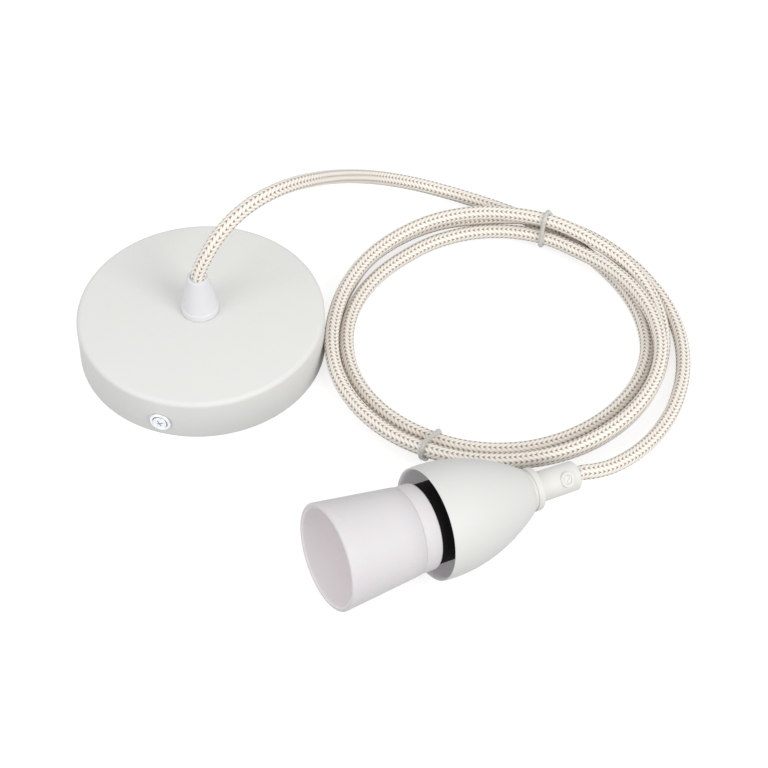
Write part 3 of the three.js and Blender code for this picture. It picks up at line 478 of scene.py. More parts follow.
@dataclass(frozen=True)
class ClearNylon(Finish):
    """Milky nylon of a tie.

    Args:
        colour: Linear colour.
        clear: Share of light that passes through.
        cloud_mm: Size of its milky clouds.
        ripple_mm: Size of its faint ripples.
        ripple_depth_mm: Depth of the ripples.
    """

    colour: Point
    clear: float = 0.25
    cloud_mm: float = 3.0
    ripple_mm: float = 1.2
    ripple_depth_mm: float = 0.02

    def paint(self, graph: NodeGraph) -> None:
        """Sets a partly clear body with cloudy gloss and ripples.

        Args:
            graph: The material's nodes.
        """
        cloud = graph.noise(self.cloud_mm, 2.0)
        graph.set(Base_Color=graph.blend(cloud, tone(self.colour, 0.92), tone(self.colour)))
        graph.set(Roughness=graph.span(cloud, 0.22, 0.36), Transmission_Weight=self.clear, IOR=1.5)
        graph.relief(graph.noise(self.ripple_mm), self.ripple_depth_mm)


class Finishes(Enum):
    """Every finish of the object. Most have the name of the record's material slot that they belong to."""

    white_paint = PowderCoat((0.775, 0.775, 0.755), roughness=0.55)
    # Sleeve's lining: a lighter copy of the lilac plastic with a painted glow, which brightens its shaded
    # inside
    sleeve_inside = PowderCoat((0.74, 0.70, 0.715), roughness=0.6, glow=0.17)
    # Bell's outside: a darker copy of the rose's white paint, which paints shade on the bell
    bell_paint = PowderCoat((0.725, 0.725, 0.705), roughness=0.55)
    # Bell's lining: a paint lighter than the bell's outside with a painted glow, which brightens its shaded
    # inside
    bell_inside = PowderCoat((0.78, 0.765, 0.785), roughness=0.6, glow=0.19)
    white_plastic = MouldedPlastic((0.75, 0.75, 0.775), roughness=0.45, shine=0.35)
    lilac_plastic = MouldedPlastic((0.725, 0.705, 0.715), roughness=0.55, scatter=0.1, shine=0.3)
    black_plastic = MouldedPlastic((0.004, 0.004, 0.0045), roughness=0.6, texture_depth_mm=0.02, shine=0.12)
    ivory_plastic = MouldedPlastic((0.77, 0.76, 0.725), roughness=0.45, shine=0.35)
    zinc_steel = PlatedMetal((0.84, 0.86, 0.89), roughness=0.36)
    nickel = PlatedMetal((0.72, 0.69, 0.64), roughness=0.25)
    brass = PlatedMetal((0.70, 0.50, 0.20), roughness=0.28)
    ceramic = MouldedPlastic((0.83, 0.81, 0.76), roughness=0.55, texture_mm=0.8, texture_depth_mm=0.03)
    # Braid: the yarn's colour, and the painted shade colour of the gaps between stitches
    braid = BraidedTextile((0.96, 0.91, 0.84), (0.25, 0.19, 0.13))
    tie_nylon = ClearNylon((0.74, 0.74, 0.69))
    brown_wire = MouldedPlastic((0.13, 0.05, 0.025), roughness=0.35)
    blue_wire = MouldedPlastic((0.03, 0.10, 0.36), roughness=0.35)
    green_wire = MouldedPlastic((0.16, 0.40, 0.05), roughness=0.35)

    def material(self) -> bpy.types.Material:
        """The finish's material, made once."""
        name = f"{self.name}_finish"
        return bpy.data.materials.get(name) or self.value.material(name)


def publish(
    name: str,
    made: bmesh.types.BMesh,
    finish: Finishes,
    *nodes: str,
    sharp: float = 32.0,
    slot: str = "",
    lining: Finishes | None = None,
) -> bpy.types.Object:
    """Turns finished mesh data, in millimetres, into a piece of the part, in metres.

    Args:
        name: The piece's name.
        made: The mesh, which is freed.
        finish: The piece's finish.
        *nodes: The CAD nodes that it takes the place of.
        sharp: Angle in degrees above which an edge stays crisp.
        slot: The record's material slot, or empty where the finish has its name; not used.
        lining: Finish of the faces in the second material, if any.

    Returns:
        The piece, linked to the scene and riding on the part's body.
    """
    bmesh.ops.recalc_face_normals(made, faces=made.faces)
    bmesh.ops.scale(made, vec=(MM, MM, MM), verts=made.verts)
    mesh = bpy.data.meshes.new(name)
    made.to_mesh(mesh)
    made.free()
    mesh.polygons.foreach_set("use_smooth", [True] * len(mesh.polygons))
    mesh.set_sharp_from_angle(angle=math.radians(sharp))
    mesh.materials.append(finish.material())
    if lining:
        mesh.materials.append(lining.material())
    piece = bpy.data.objects.new(name, mesh)
    bpy.context.scene.collection.objects.link(piece)
    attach(piece, ROOT)
    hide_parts(*nodes)
    return piece


def turned(outline: Profile, sides: Sides, place: Matrix = Matrix()) -> bmesh.types.BMesh:
    """Spins a closed outline about the Z axis.

    Args:
        outline: Points as (radius, height), which close on themselves or end on the axis.
        sides: Facets around the axis.
        place: Where the axis goes.

    Returns:
        The mesh in millimetres.
    """
    made = bmesh.new()
    verts = [made.verts.new((radius, 0.0, height)) for radius, height in outline]
    on_axis = outline[0][0] == 0 and outline[-1][0] == 0
    edges = [made.edges.new(pair) for pair in zip(verts, verts[1:])]
    if not on_axis:
        edges.append(made.edges.new((verts[-1], verts[0])))
    bmesh.ops.spin(
        made,
        geom=verts + edges,
        cent=(0, 0, 0),
        axis=(0, 0, 1),
        angle=2 * math.pi,
        steps=sides.value,
        use_merge=True,
    )
    bmesh.ops.remove_doubles(made, verts=made.verts, dist=1e-4)
    bmesh.ops.transform(made, matrix=place, verts=made.verts)
    return made


def circle(count: int) -> list[float]:
    """Evenly spaced angles around a full turn."""
    return [2 * math.pi * k / count for k in range(count)]


def bridge(made: bmesh.types.BMesh, low: Ring, high: Ring) -> None:
    """Joins two rings of equally many vertices with four-sided faces.

    Args:
        made: The mesh that holds both rings.
        low: One ring, in order.
        high: The other ring, in the same order.
    """
    for here in range(len(low)):
        after = (here + 1) % len(low)
        made.faces.new((low[here], low[after], high[after], high[here]))


def joined(parts: Iterable[bmesh.types.BMesh]) -> bmesh.types.BMesh:
    """Puts several meshes in one and frees them.

    Args:
        parts: The meshes.

    Returns:
        The one mesh.
    """
    whole = bmesh.new()
    for part in parts:
        carrier = bpy.data.meshes.new("carrier")
        part.to_mesh(carrier)
        part.free()
        whole.from_mesh(carrier)
        bpy.data.meshes.remove(carrier)
    return whole


def swept(path: Sequence[Vector], radius: float, sides: int, closed: bool = False) -> bmesh.types.BMesh:
    """A round tube along points, with turns around and metres along it as its UV.

    Args:
        path: The centreline in millimetres.
        radius: The tube's radius.
        sides: Facets around the tube.
        closed: Whether the tube joins its own start.

    Returns:
        The mesh in millimetres.
    """
    made = bmesh.new()
    uv = made.loops.layers.uv.new("UVMap")
    count = len(path)
    rings: list[list[bmesh.types.BMVert]] = []
    distances = [0.0]
    normal = Vector()
    last = Vector()
    for i, point in enumerate(path):
        before = path[i - 1] if i or closed else point
        after = path[(i + 1) % count] if i + 1 < count or closed else point
        ahead = (after - before).normalized()
        normal = ahead.orthogonal().normalized() if i == 0 else last.rotation_difference(ahead) @ normal
        normal = (normal - ahead * normal.dot(ahead)).normalized()
        side = ahead.cross(normal)
        last = ahead
        if i:
            distances.append(distances[-1] + (point - path[i - 1]).length)
        spokes = [normal * math.cos(a) + side * math.sin(a) for a in circle(sides)]
        rings.append([made.verts.new(point + spoke * radius) for spoke in spokes])
    spans = list(zip(range(count), range(1, count)))
    if closed:
        spans.append((count - 1, 0))
        distances.append(distances[-1] + (path[0] - path[-1]).length)
    for i, j in spans:
        here, there = distances[i] * MM, distances[i + 1] * MM
        for k in range(sides):
            n = (k + 1) % sides
            face = made.faces.new((rings[i][k], rings[i][n], rings[j][n], rings[j][k]))
            corners = ((k, here), (k + 1, here), (k + 1, there), (k, there))
            for loop, (turn, along) in zip(face.loops, corners):
                loop[uv].uv = (turn / sides, along)
    if not closed:
        made.faces.new(rings[0])
        made.faces.new(rings[-1])
    return made


def smooth_path(points: Sequence[Vector], step: float, closed: bool = False) -> list[Vector]:
    """Even steps along a smooth curve through points.

    Args:
        points: The points in millimetres.
        step: Length of one step.
        closed: Whether the curve joins its own start.

    Returns:
        The points of the curve.
    """
    count = len(points)
    dense: list[Vector] = []
    segments = count if closed else count - 1
    for i in range(segments):
        p1, p2 = points[i], points[(i + 1) % count]
        p0 = points[i - 1] if i or closed else p1 * 2 - p2
        p3 = points[(i + 2) % count] if i + 2 < count or closed else p2 * 2 - p1
        knots = [0.0]
        for a, b in ((p0, p1), (p1, p2), (p2, p3)):
            knots.append(knots[-1] + math.sqrt(max((b - a).length, 1e-6)))
        t0, t1, t2, t3 = knots
        pieces = max(4, round((p2 - p1).length / 0.4))
        for k in range(pieces):
            t = t1 + (t2 - t1) * k / pieces
            a1 = p0 * ((t1 - t) / (t1 - t0)) + p1 * ((t - t0) / (t1 - t0))
            a2 = p1 * ((t2 - t) / (t2 - t1)) + p2 * ((t - t1) / (t2 - t1))
            a3 = p2 * ((t3 - t) / (t3 - t2)) + p3 * ((t - t2) / (t3 - t2))
            b1 = a1 * ((t2 - t) / (t2 - t0)) + a2 * ((t - t0) / (t2 - t0))
            b2 = a2 * ((t3 - t) / (t3 - t1)) + a3 * ((t - t1) / (t3 - t1))
            dense.append(b1 * ((t2 - t) / (t2 - t1)) + b2 * ((t - t1) / (t2 - t1)))
    dense.append(points[0].copy() if closed else points[-1].copy())
    lengths = [0.0]
    for a, b in zip(dense, dense[1:]):
        lengths.append(lengths[-1] + (b - a).length)
    wanted = max(2, round(lengths[-1] / step))
    even: list[Vector] = []
    at = 0
    for k in range(wanted if closed else wanted + 1):
        target = lengths[-1] * k / wanted
        while at + 2 < len(lengths) and lengths[at + 1] < target:
            at += 1
        share = (target - lengths[at]) / max(lengths[at + 1] - lengths[at], 1e-9)
        even.append(dense[at].lerp(dense[at + 1], share))
    return even


@dataclass
class StudioCamera:
    """The photograph's camera.

    Args:
        target: Point that it looks at, in millimetres.
        elevation: Height above the horizon, in degrees.
        distance: From the target, in millimetres.
        lens: Focal length, in millimetres.
        sensor: Width of the sensor, in millimetres.
    """

    target: Point = (87.9, -26.1, 0.0)
    elevation: float = 48.52
    distance: float = 1100.0
    lens: float = 107.63
    sensor: float = 36.0

    def build(self) -> None:
        """Makes the camera and gives it to the scene."""
        data = bpy.data.cameras.new("studio_camera")
        data.lens = self.lens
        data.sensor_width = self.sensor
        data.clip_start = 0.05
        camera = bpy.data.objects.new("studio_camera", data)
        rise = math.radians(self.elevation)
        away = Vector((0.0, -math.cos(rise), math.sin(rise))) * self.distance
        camera.location = (Vector(self.target) + away) * MM
        camera.rotation_euler = (math.pi / 2 - rise, 0.0, 0.0)
        bpy.context.scene.collection.objects.link(camera)
        bpy.context.scene.camera = camera


@dataclass(frozen=True)
class Lamp:
    """One soft rectangular lamp.

    Args:
        name: The lamp's name.
        place: Where it stands, in metres.
        width: Side of its square, in metres.
        watts: Its power.
    """

    name: str
    place: Point
    width: float
    watts: float

    def build(self, target: Vector) -> None:
        """Makes the lamp.

        Args:
            target: The point that it is aimed at.
        """
        data = bpy.data.lights.new(self.name, "AREA")
        data.shape = "SQUARE"
        data.size = self.width
        data.energy = self.watts
        lamp = bpy.data.objects.new(self.name, data)
        lamp.location = self.place
        lamp.rotation_euler = (target - Vector(self.place)).to_track_quat("-Z", "Y").to_euler()
        bpy.context.scene.collection.objects.link(lamp)


@dataclass
class Studio:
    """The white sweep and its soft light.

    Args:
        sky: Brightness of the white all around.
        floor_colour: How much light the floor returns.
        floor_glow: Light that the lit sweep adds.
        floor_size: Side of the floor, in metres.
        aim: Point that the lamps face, in metres.
        lamps: The soft lamps.
    """

    sky: float = 0.71
    floor_colour: float = 0.4
    floor_glow: float = 0.75
    floor_size: float = 14.0
    aim: Point = (0.09, -0.02, 0.0)
    lamps: tuple[Lamp, ...] = (
        Lamp("left_softbox", (-1.6, -1.42, 1.4), 1.4, 15.5),
        Lamp("right_softbox", (1.66, -1.56, 1.4), 1.4, 31.0),
    )

    def build(self) -> None:
        """Makes the world, the floor and the lamps."""
        self.build_sky()
        self.build_floor()
        for lamp in self.lamps:
            lamp.build(Vector(self.aim))

    @staticmethod
    def seen_strength(tree: bpy.types.NodeTree, unseen: float, seen: float) -> bpy.types.NodeSocket:
        """One strength for rays from the eye, a mirror or a clear piece, and another for the rest.

        Args:
            tree: The node tree that gets the nodes.
            unseen: Strength where the surface only lights others.
            seen: Strength where it is looked at.

        Returns:
            The strength socket.
        """
        rays = tree.nodes.new("ShaderNodeLightPath")
        looked = rays.outputs["Is Camera Ray"]
        for kind in ("Is Glossy Ray", "Is Transmission Ray"):
            either = tree.nodes.new("ShaderNodeMath")
            either.operation = "MAXIMUM"
            tree.links.new(looked, either.inputs[0])
            tree.links.new(rays.outputs[kind], either.inputs[1])
            looked = either.outputs[0]
        strength = tree.nodes.new("ShaderNodeMapRange")
        strength.inputs["To Min"].default_value = unseen
        strength.inputs["To Max"].default_value = seen
        tree.links.new(looked, strength.inputs["Value"])
        return strength.outputs["Result"]

    def build_sky(self) -> None:
        """White all around: pure white where it is seen, softer where it only lights."""
        world = bpy.data.worlds.new("white_sky")
        bpy.context.scene.world = world
        world.use_nodes = True
        tree = world.node_tree
        background = tree.nodes["Background"]
        tree.links.new(self.seen_strength(tree, self.sky, 1.0), background.inputs["Strength"])
        background.inputs["Color"].default_value = (1.0, 1.0, 1.0, 1.0)

    def build_floor(self) -> None:
        """A matt pale floor that looks white and keeps a faint shadow."""
        made = bmesh.new()
        bmesh.ops.create_grid(made, x_segments=1, y_segments=1, size=self.floor_size / 2)
        mesh = bpy.data.meshes.new("floor")
        made.to_mesh(mesh)
        made.free()
        material = bpy.data.materials.new("white_floor")
        material.use_nodes = True
        tree = material.node_tree
        tree.nodes.clear()
        matt = tree.nodes.new("ShaderNodeBsdfDiffuse")
        matt.inputs["Color"].default_value = (self.floor_colour,) * 3 + (1.0,)
        glow = tree.nodes.new("ShaderNodeEmission")
        tree.links.new(self.seen_strength(tree, 0.0, self.floor_glow), glow.inputs["Strength"])
        both = tree.nodes.new("ShaderNodeAddShader")
        output = tree.nodes.new("ShaderNodeOutputMaterial")
        tree.links.new(matt.outputs[0], both.inputs[0])
        tree.links.new(glow.outputs[0], both.inputs[1])
        tree.links.new(both.outputs[0], output.inputs["Surface"])
        mesh.materials.append(material)
        floor = bpy.data.objects.new("floor", mesh)
        bpy.context.scene.collection.objects.link(floor)


# Where the cord comes out of the cone's throat, in millimetres
CONE_THROAT: Point = (0, 0, 45.4)

# Route of the cord from the tip of the cone to the coil, in millimetres
LEAD_ROUTE: list[Point] = [
    (1, 0.2, 50.4), (5.1, 2.1, 59.5), (10.5, 6.2, 67.1), (17.2, 11.9, 72.5), (24.7, 18.4, 75.2),
    (32.4, 25.3, 75.4), (39.7, 32.3, 73.5), (46.3, 39.3, 70), (52.2, 46.4, 65.3), (57.4, 53.5, 59.9),
    (62.1, 60.5, 54.1), (66.7, 67.4, 48), (71.4, 74.2, 41.7), (76.6, 80.6, 35.5), (82.4, 86.5, 29.4),
    (89.2, 91.6, 23.5), (96.9, 95.6, 18), (105.6, 98.2, 13.1), (115, 99.1, 9), (124.8, 98.3, 6),
    (134.6, 95.8, 4.2), (144.2, 92, 3.6), (153.3, 87.3, 3.5), (160.2, 83.1, 3.5),
]

# Route of the cord from the coil to the side cord grip, in millimetres
TAIL_ROUTE: list[Point] = [
    (222.1, 32, 4.5), (225.8, 24.7, 3.9), (228.7, 16.5, 3.6), (230.8, 7.7, 3.5), (231.9, -1.4, 3.5),
    (232.1, -10.4, 3.5), (231.4, -19.4, 3.5), (229.9, -28.2, 3.6), (227.5, -37, 3.9), (224.4, -45.7, 4.5),
    (220.4, -54.1, 5.4), (215.7, -62.2, 6.5), (210.2, -69.8, 7.8), (204.2, -76.7, 9.2), (197.5, -83, 10.9),
    (190.2, -88.4, 12.7), (182.4, -92.5, 15),
]


@dataclass(frozen=True)
class Station:
    """A place on the coil.

    Args:
        angle: Degrees around the coil, falling all the way along the cord.
        radius: Distance from the coil's centre, in millimetres.
        height: Height of the cord's middle, in millimetres.
    """

    angle: float
    radius: float
    height: float


# Where the cord comes on to the coil
COIL_ENTRY = (Station(70, 82.7, 3.5), Station(63, 79.8, 3.5), Station(53, 76.7, 3.5))

# The three turns from there on, at even angles in degrees that fall along the cord.
# Each pair is the distance from the coil's centre and the height of the cord's middle.
COIL_FIRST_ANGLE = 33
COIL_STEP_ANGLE = -20
COIL_PLACES = (
    (73.4, 3.5), (72.9, 3.5), (72.8, 3.6), (70.9, 3.8), (69.1, 3.8), (68.3, 3.6), (68.3, 3.5),
    (68.9, 3.5), (69.8, 3.7), (71.3, 3.9), (72.5, 4.2), (72.7, 4.3), (72.5, 3.9), (72.3, 3.5),
    (73.6, 4.0), (74.4, 5.0), (73.2, 6.5), (70.9, 8.2), (72.1, 10.4), (75.5, 11.2), (78.9, 11.1),
    (80.0, 10.9), (79.9, 10.7), (80.1, 10.5), (80.4, 10.5), (81.3, 10.4), (82.1, 10.2), (82.0, 10.3),
    (80.8, 10.3), (79.1, 10.4), (79.2, 10.4), (80.2, 10.8), (80.3, 12.2), (78.7, 14.1), (76.5, 15.4),
    (77.1, 13.8), (80.2, 10.6), (81.3, 6.8), (80.1, 4.2), (78.4, 3.5), (77.2, 3.5), (76.4, 3.6),
    (75.9, 3.7), (76.4, 3.7), (77.5, 3.6), (78.8, 3.6), (79.5, 3.5), (79.6, 3.5), (81.0, 3.6),
    (83.5, 4.5), (83.7, 5.5), (81.7, 7.3), (80.9, 10.1), (82.1, 9.1), (85.2, 5.7),
)


def coil_stations() -> tuple[Station, ...]:
    """Every place that the coil's turns run through, in order along the cord."""
    turns = [Station(COIL_FIRST_ANGLE + COIL_STEP_ANGLE * i, *place) for i, place in enumerate(COIL_PLACES)]
    return (*COIL_ENTRY, *turns)


@dataclass
class CordCoil:
    """The braided cord from the rose's cone to the lampholder's grip, with its two ties, in millimetres.

    Args:
        radius: The cord's radius.
        centre: The coil's centre.
        step: Length of one ring of the mesh.
        sides: Facets around the cord.
        turn_points: Points of the centreline in one turn.
        inside: Radius that lies inside every turn.
        outside: Radius that lies outside every turn.
        straight_exit: Length that the cord runs straight out of the grip.
        grip_gap: Gap between the cord's end and the grip.
        tie_radius: Radius of a tie's own section.
        tie_sides: Facets around that section.
        tie_step: Length of one ring of a tie's mesh.
        tie_points: Points around each strand that a tie is drawn tight over.
        tie_sink: How far a tie bites into the braid.
        tie_clear: Gap between a tie and the surface.
        tie_lift: How far a tie that passes under the turns lifts them.
        tie_spread: How far along the cord that lift reaches.
        tie_angles: Each tie's node, and where it is around the coil in degrees.
        stations: Where the three turns run, one stack on another.
    """

    radius: float = 3.5
    centre: tuple[float, float] = (142.4, -1.8)
    step: float = 1.3
    sides: int = 24
    turn_points: int = 24
    inside: float = 55.0
    outside: float = 90.0
    straight_exit: float = 4.0
    grip_gap: float = 0.1
    tie_radius: float = 1.15
    tie_sides: int = 16
    tie_step: float = 0.8
    tie_points: int = 24
    tie_sink: float = 0.4
    tie_clear: float = 0.05
    tie_lift: float = 0.3
    tie_spread: float = 14.0
    tie_angles: tuple[tuple[str, float], ...] = (("coil_tie_rear", 69.5), ("coil_tie_front", -116.0))
    stations: tuple[Station, ...] = field(default_factory=coil_stations)

    def spot(self, station: Station) -> Vector:
        """The station as a point."""
        turn = math.radians(station.angle)
        x = self.centre[0] + station.radius * math.cos(turn)
        y = self.centre[1] + station.radius * math.sin(turn)
        return Vector((x, y, station.height))

    def between(self, angle: float) -> Station:
        """The place on the coil at any angle, smoothly between the stations.

        Args:
            angle: Degrees around the coil, from the first station on.

        Returns:
            The place there.
        """
        for before, after in zip(self.stations, self.stations[1:]):
            if before.angle >= angle >= after.angle:
                i = self.stations.index(before)
                first = self.stations[max(i - 1, 0)]
                last = self.stations[min(i + 2, len(self.stations) - 1)]
                return Station(
                    angle,
                    hermite(angle, [(s.angle, s.radius) for s in (first, before, after, last)]),
                    hermite(angle, [(s.angle, s.height) for s in (first, before, after, last)]),
                )
        return self.stations[-1]

    def coil_points(self) -> list[Vector]:
        """Points along all the turns, with the same number in each."""
        first, last = self.stations[0].angle, self.stations[-1].angle
        count = round((first - last) / 360 * self.turn_points)
        return [self.spot(self.between(first + (last - first) * i / count)) for i in range(count + 1)]

    def route(self, grip_end: Vector, grip_axis: Vector) -> list[Vector]:
        """The whole centreline.

        Args:
            grip_end: Middle of the grip's rear face.
            grip_axis: Unit vector out of the grip.

        Returns:
            Even steps from the cone's tip to the grip.
        """
        lead = [Vector(p) for p in LEAD_ROUTE]
        tail = [Vector(p) for p in TAIL_ROUTE]
        end = [grip_end + grip_axis * distance for distance in (self.straight_exit, self.grip_gap)]
        start = [Vector(CONE_THROAT)]
        path = smooth_path(start + lead + self.coil_points() + tail + end, self.step)
        return [Vector((x, y, max(z, self.radius))) for x, y, z in map(self.lifted, path)]

    def lifted(self, point: Vector) -> Vector:
        """Raises a point a little where a tie passes under the bundle.

        Args:
            point: A point of the centreline.

        Returns:
            The point as it lies.
        """
        offset = point - Vector((*self.centre, 0.0))
        flat = Vector((offset.x, offset.y))
        if not self.inside < flat.length < self.outside:
            return point
        raised = point.copy()
        for _, angle in self.tie_angles:
            away = math.radians(angle) - math.atan2(flat.y, flat.x)
            arc = math.atan2(math.sin(away), math.cos(away)) * flat.length
            raised.z += self.tie_lift * math.exp(-((arc / self.tie_spread) ** 2))
        return raised

    def strands_at(self, path: Sequence[Vector], angle: float) -> list[Vector]:
        """Finds where the cord crosses a half-plane through the coil's centre.

        Args:
            path: The centreline.
            angle: The half-plane's angle, in degrees.

        Returns:
            Each crossing as (radius, height).
        """
        spoke = Vector((math.cos(math.radians(angle)), math.sin(math.radians(angle)), 0.0))
        across = Vector((-spoke.y, spoke.x, 0.0))
        middle = Vector((*self.centre, 0.0))
        found = []
        for a, b in zip(path, path[1:]):
            before, after = (a - middle).dot(across), (b - middle).dot(across)
            if (before > 0) == (after > 0) or (a - middle).dot(spoke) < self.inside:
                continue
            crossing = a.lerp(b, before / (before - after))
            radius = (crossing - middle).dot(spoke)
            if radius < self.outside:
                found.append(Vector((radius, crossing.z)))
        return found

    def tie_path(self, strands: Sequence[Vector], angle: float) -> list[Vector]:
        """Draws a tight loop around the strands.

        Args:
            strands: Each crossing of the cord as (radius, height).
            angle: The tie's angle around the coil, in degrees.

        Returns:
            The middle line of the tie.
        """
        reach = self.radius + self.tie_radius - self.tie_sink
        rim = []
        for strand in strands:
            for turn in circle(self.tie_points):
                rim.append((strand.x + reach * math.cos(turn), strand.y + reach * math.sin(turn)))
        hull = convex_hull(rim)
        spoke = Vector((math.cos(math.radians(angle)), math.sin(math.radians(angle)), 0.0))
        middle = Vector((*self.centre, 0.0))
        lowest = self.tie_radius + self.tie_clear
        loop = [middle + spoke * x + Vector((0, 0, max(z, lowest))) for x, z in hull]
        return smooth_path(loop, self.tie_step, closed=True)

    def build(self, grip_end: Vector, grip_axis: Vector) -> None:
        """Args:
            grip_end: Middle of the grip's rear face.
            grip_axis: Unit vector out of the grip.
        """
        path = self.route(grip_end, grip_axis)
        tube = swept(path, self.radius, self.sides)
        nodes = ("cord_lead", "cord_tail", "cord_coil")
        cord = publish("braided_cord", tube, Finishes.braid, *nodes, sharp=60.0)
        for name, angle in self.tie_angles:
            loop = self.tie_path(self.strands_at(path, angle), angle)
            band = swept(loop, self.tie_radius, self.tie_sides, closed=True)
            publish(f"{name}_loop", band, Finishes.tie_nylon, name)


def hermite(at: float, knots: Sequence[tuple[float, float]]) -> float:
    """Cubic value between the middle two of four places, with no overshoot at level stretches.

    Args:
        at: The place that is asked for.
        knots: Four (place, value) pairs.

    Returns:
        The value there.
    """
    (x0, y0), (x1, y1), (x2, y2), (x3, y3) = knots
    span = x2 - x1
    slope = (y2 - y1) / span
    before = (y1 - y0) / (x1 - x0) if x1 != x0 else slope
    after = (y3 - y2) / (x3 - x2) if x3 != x2 else slope
    start = 0.0 if before * slope <= 0 else 2 * before * slope / (before + slope)
    end = 0.0 if after * slope <= 0 else 2 * after * slope / (after + slope)
    t = (at - x1) / span
    rise = t * t * (3 - 2 * t)
    return y1 + (y2 - y1) * rise + span * (start * t * (1 - t) ** 2 - end * t * t * (1 - t))


def convex_hull(points: Sequence[tuple[float, float]]) -> list[tuple[float, float]]:
    """The outer points of a set, in order around it.

    Args:
        points: The points.

    Returns:
        Those on the outside, lower side first.
    """
    ordered = sorted(set(points))
    hull = []
    for run in (ordered, ordered[::-1]):
        side: list[tuple[float, float]] = []
        for point in run:
            while len(side) > 1 and turn_of(side[-2], side[-1], point) <= 0:
                side.pop()
            side.append(point)
        hull += side[:-1]
    return hull


def turn_of(first: tuple[float, float], middle: tuple[float, float], last: tuple[float, float]) -> float:
    """How far three points turn, above 0 where they turn to the left.

    Args:
        first: The first point.
        middle: The second point.
        last: The third point.

    Returns:
        Twice the area of their triangle.
    """
    ahead = (middle[0] - first[0]) * (last[1] - first[1])
    return ahead - (middle[1] - first[1]) * (last[0] - first[0])


def aimed(spot: Vector, along: Vector, upward: Vector = Vector((0, 0, 1))) -> Matrix:
    """A placement with its Z along a direction and its Y as near upward as it can be.

    Args:
        spot: Its origin.
        along: Direction of its Z.
        upward: Direction that its Y leans to.

    Returns:
        The placement.
    """
    z = along.normalized()
    x = upward.cross(z).normalized()
    y = z.cross(x)
    place = Matrix((x, y, z)).transposed().to_4x4()
    place.translation = spot
    return place


class Recess(Enum):
    """The driver's recess in a screw head."""

    CROSS = "cross"
    SLOT = "slot"


@dataclass
class ScrewHead:
    """A round screw head seen from outside.

    Args:
        radius: The head's radius.
        depth: Its depth below the edge.
        dome: How far it stands proud in the middle.
        recess: The recess's form.
        slot_width: Width of the recess's arms.
        slot_depth: Depth of the recess.
        slot_reach: Length of an arm, as a share of the head's radius.
        slot_taper: Size of the recess's floor, as a share of its opening.
        shank_share: Radius at the head's back, as a share of its own.
        shoulder_share: Radius where the side turns into the top.
        crown_share: Radius where the dome is level.
    """

    radius: float
    depth: float
    dome: float
    recess: Recess = Recess.CROSS
    slot_width: float = 0.7
    slot_depth: float = 0.9
    slot_reach: float = 0.6
    slot_taper: float = 0.75
    shank_share: float = 0.62
    shoulder_share: float = 0.93
    crown_share: float = 0.72

    def recess_outline(self) -> list[tuple[float, float]]:
        """The recess's edge on top of the head."""
        arm = self.radius * self.slot_reach
        half = self.slot_width / 2
        if self.recess is Recess.SLOT:
            return [(arm, -half), (arm, half), (-arm, half), (-arm, -half)]
        outline = [(arm, -half), (arm, half), (half, half)]
        for _ in range(3):
            outline += [(-y, x) for x, y in outline[-3:]]
        return outline

    def mesh(self, place: Matrix) -> bmesh.types.BMesh:
        """Makes the head with its recess cut in.

        Args:
            place: Placement of its outer edge's middle, with Z outward.

        Returns:
            The mesh in millimetres.
        """
        profile = rounded(
            [
                Corner(self.radius * self.shank_share, -self.depth),
                Corner(self.radius, -0.2, 0.12),
                Corner(self.radius * self.shoulder_share, self.dome * 0.7, 0.3),
                Corner(self.radius * self.crown_share, self.dome),
            ],
            closed=False,
        )
        count = Sides.SMALL.value
        made = bmesh.new()
        rings = []
        for radius, height in profile:
            edge = [(radius * math.cos(turn), radius * math.sin(turn), height) for turn in circle(count)]
            rings.append([made.verts.new(point) for point in edge])
        for low, high in zip(rings, rings[1:]):
            bridge(made, low, high)
        made.faces.new(rings[0])
        opening = self.recess_outline()
        bottom, taper = self.dome - self.slot_depth, self.slot_taper
        rim = [made.verts.new((x, y, self.dome)) for x, y in opening]
        floor = [made.verts.new((x * taper, y * taper, bottom)) for x, y in opening]
        made.faces.new(floor)
        bridge(made, rim, floor)
        loops = [pair for ring in (rings[-1], rim) for pair in zip(ring, ring[1:] + ring[:1])]
        edges = [made.edges.get(pair) for pair in loops]
        bmesh.ops.triangle_fill(made, edges=edges, use_beauty=True, normal=(0, 0, 1))
        bmesh.ops.transform(made, matrix=place, verts=made.verts)
        return made


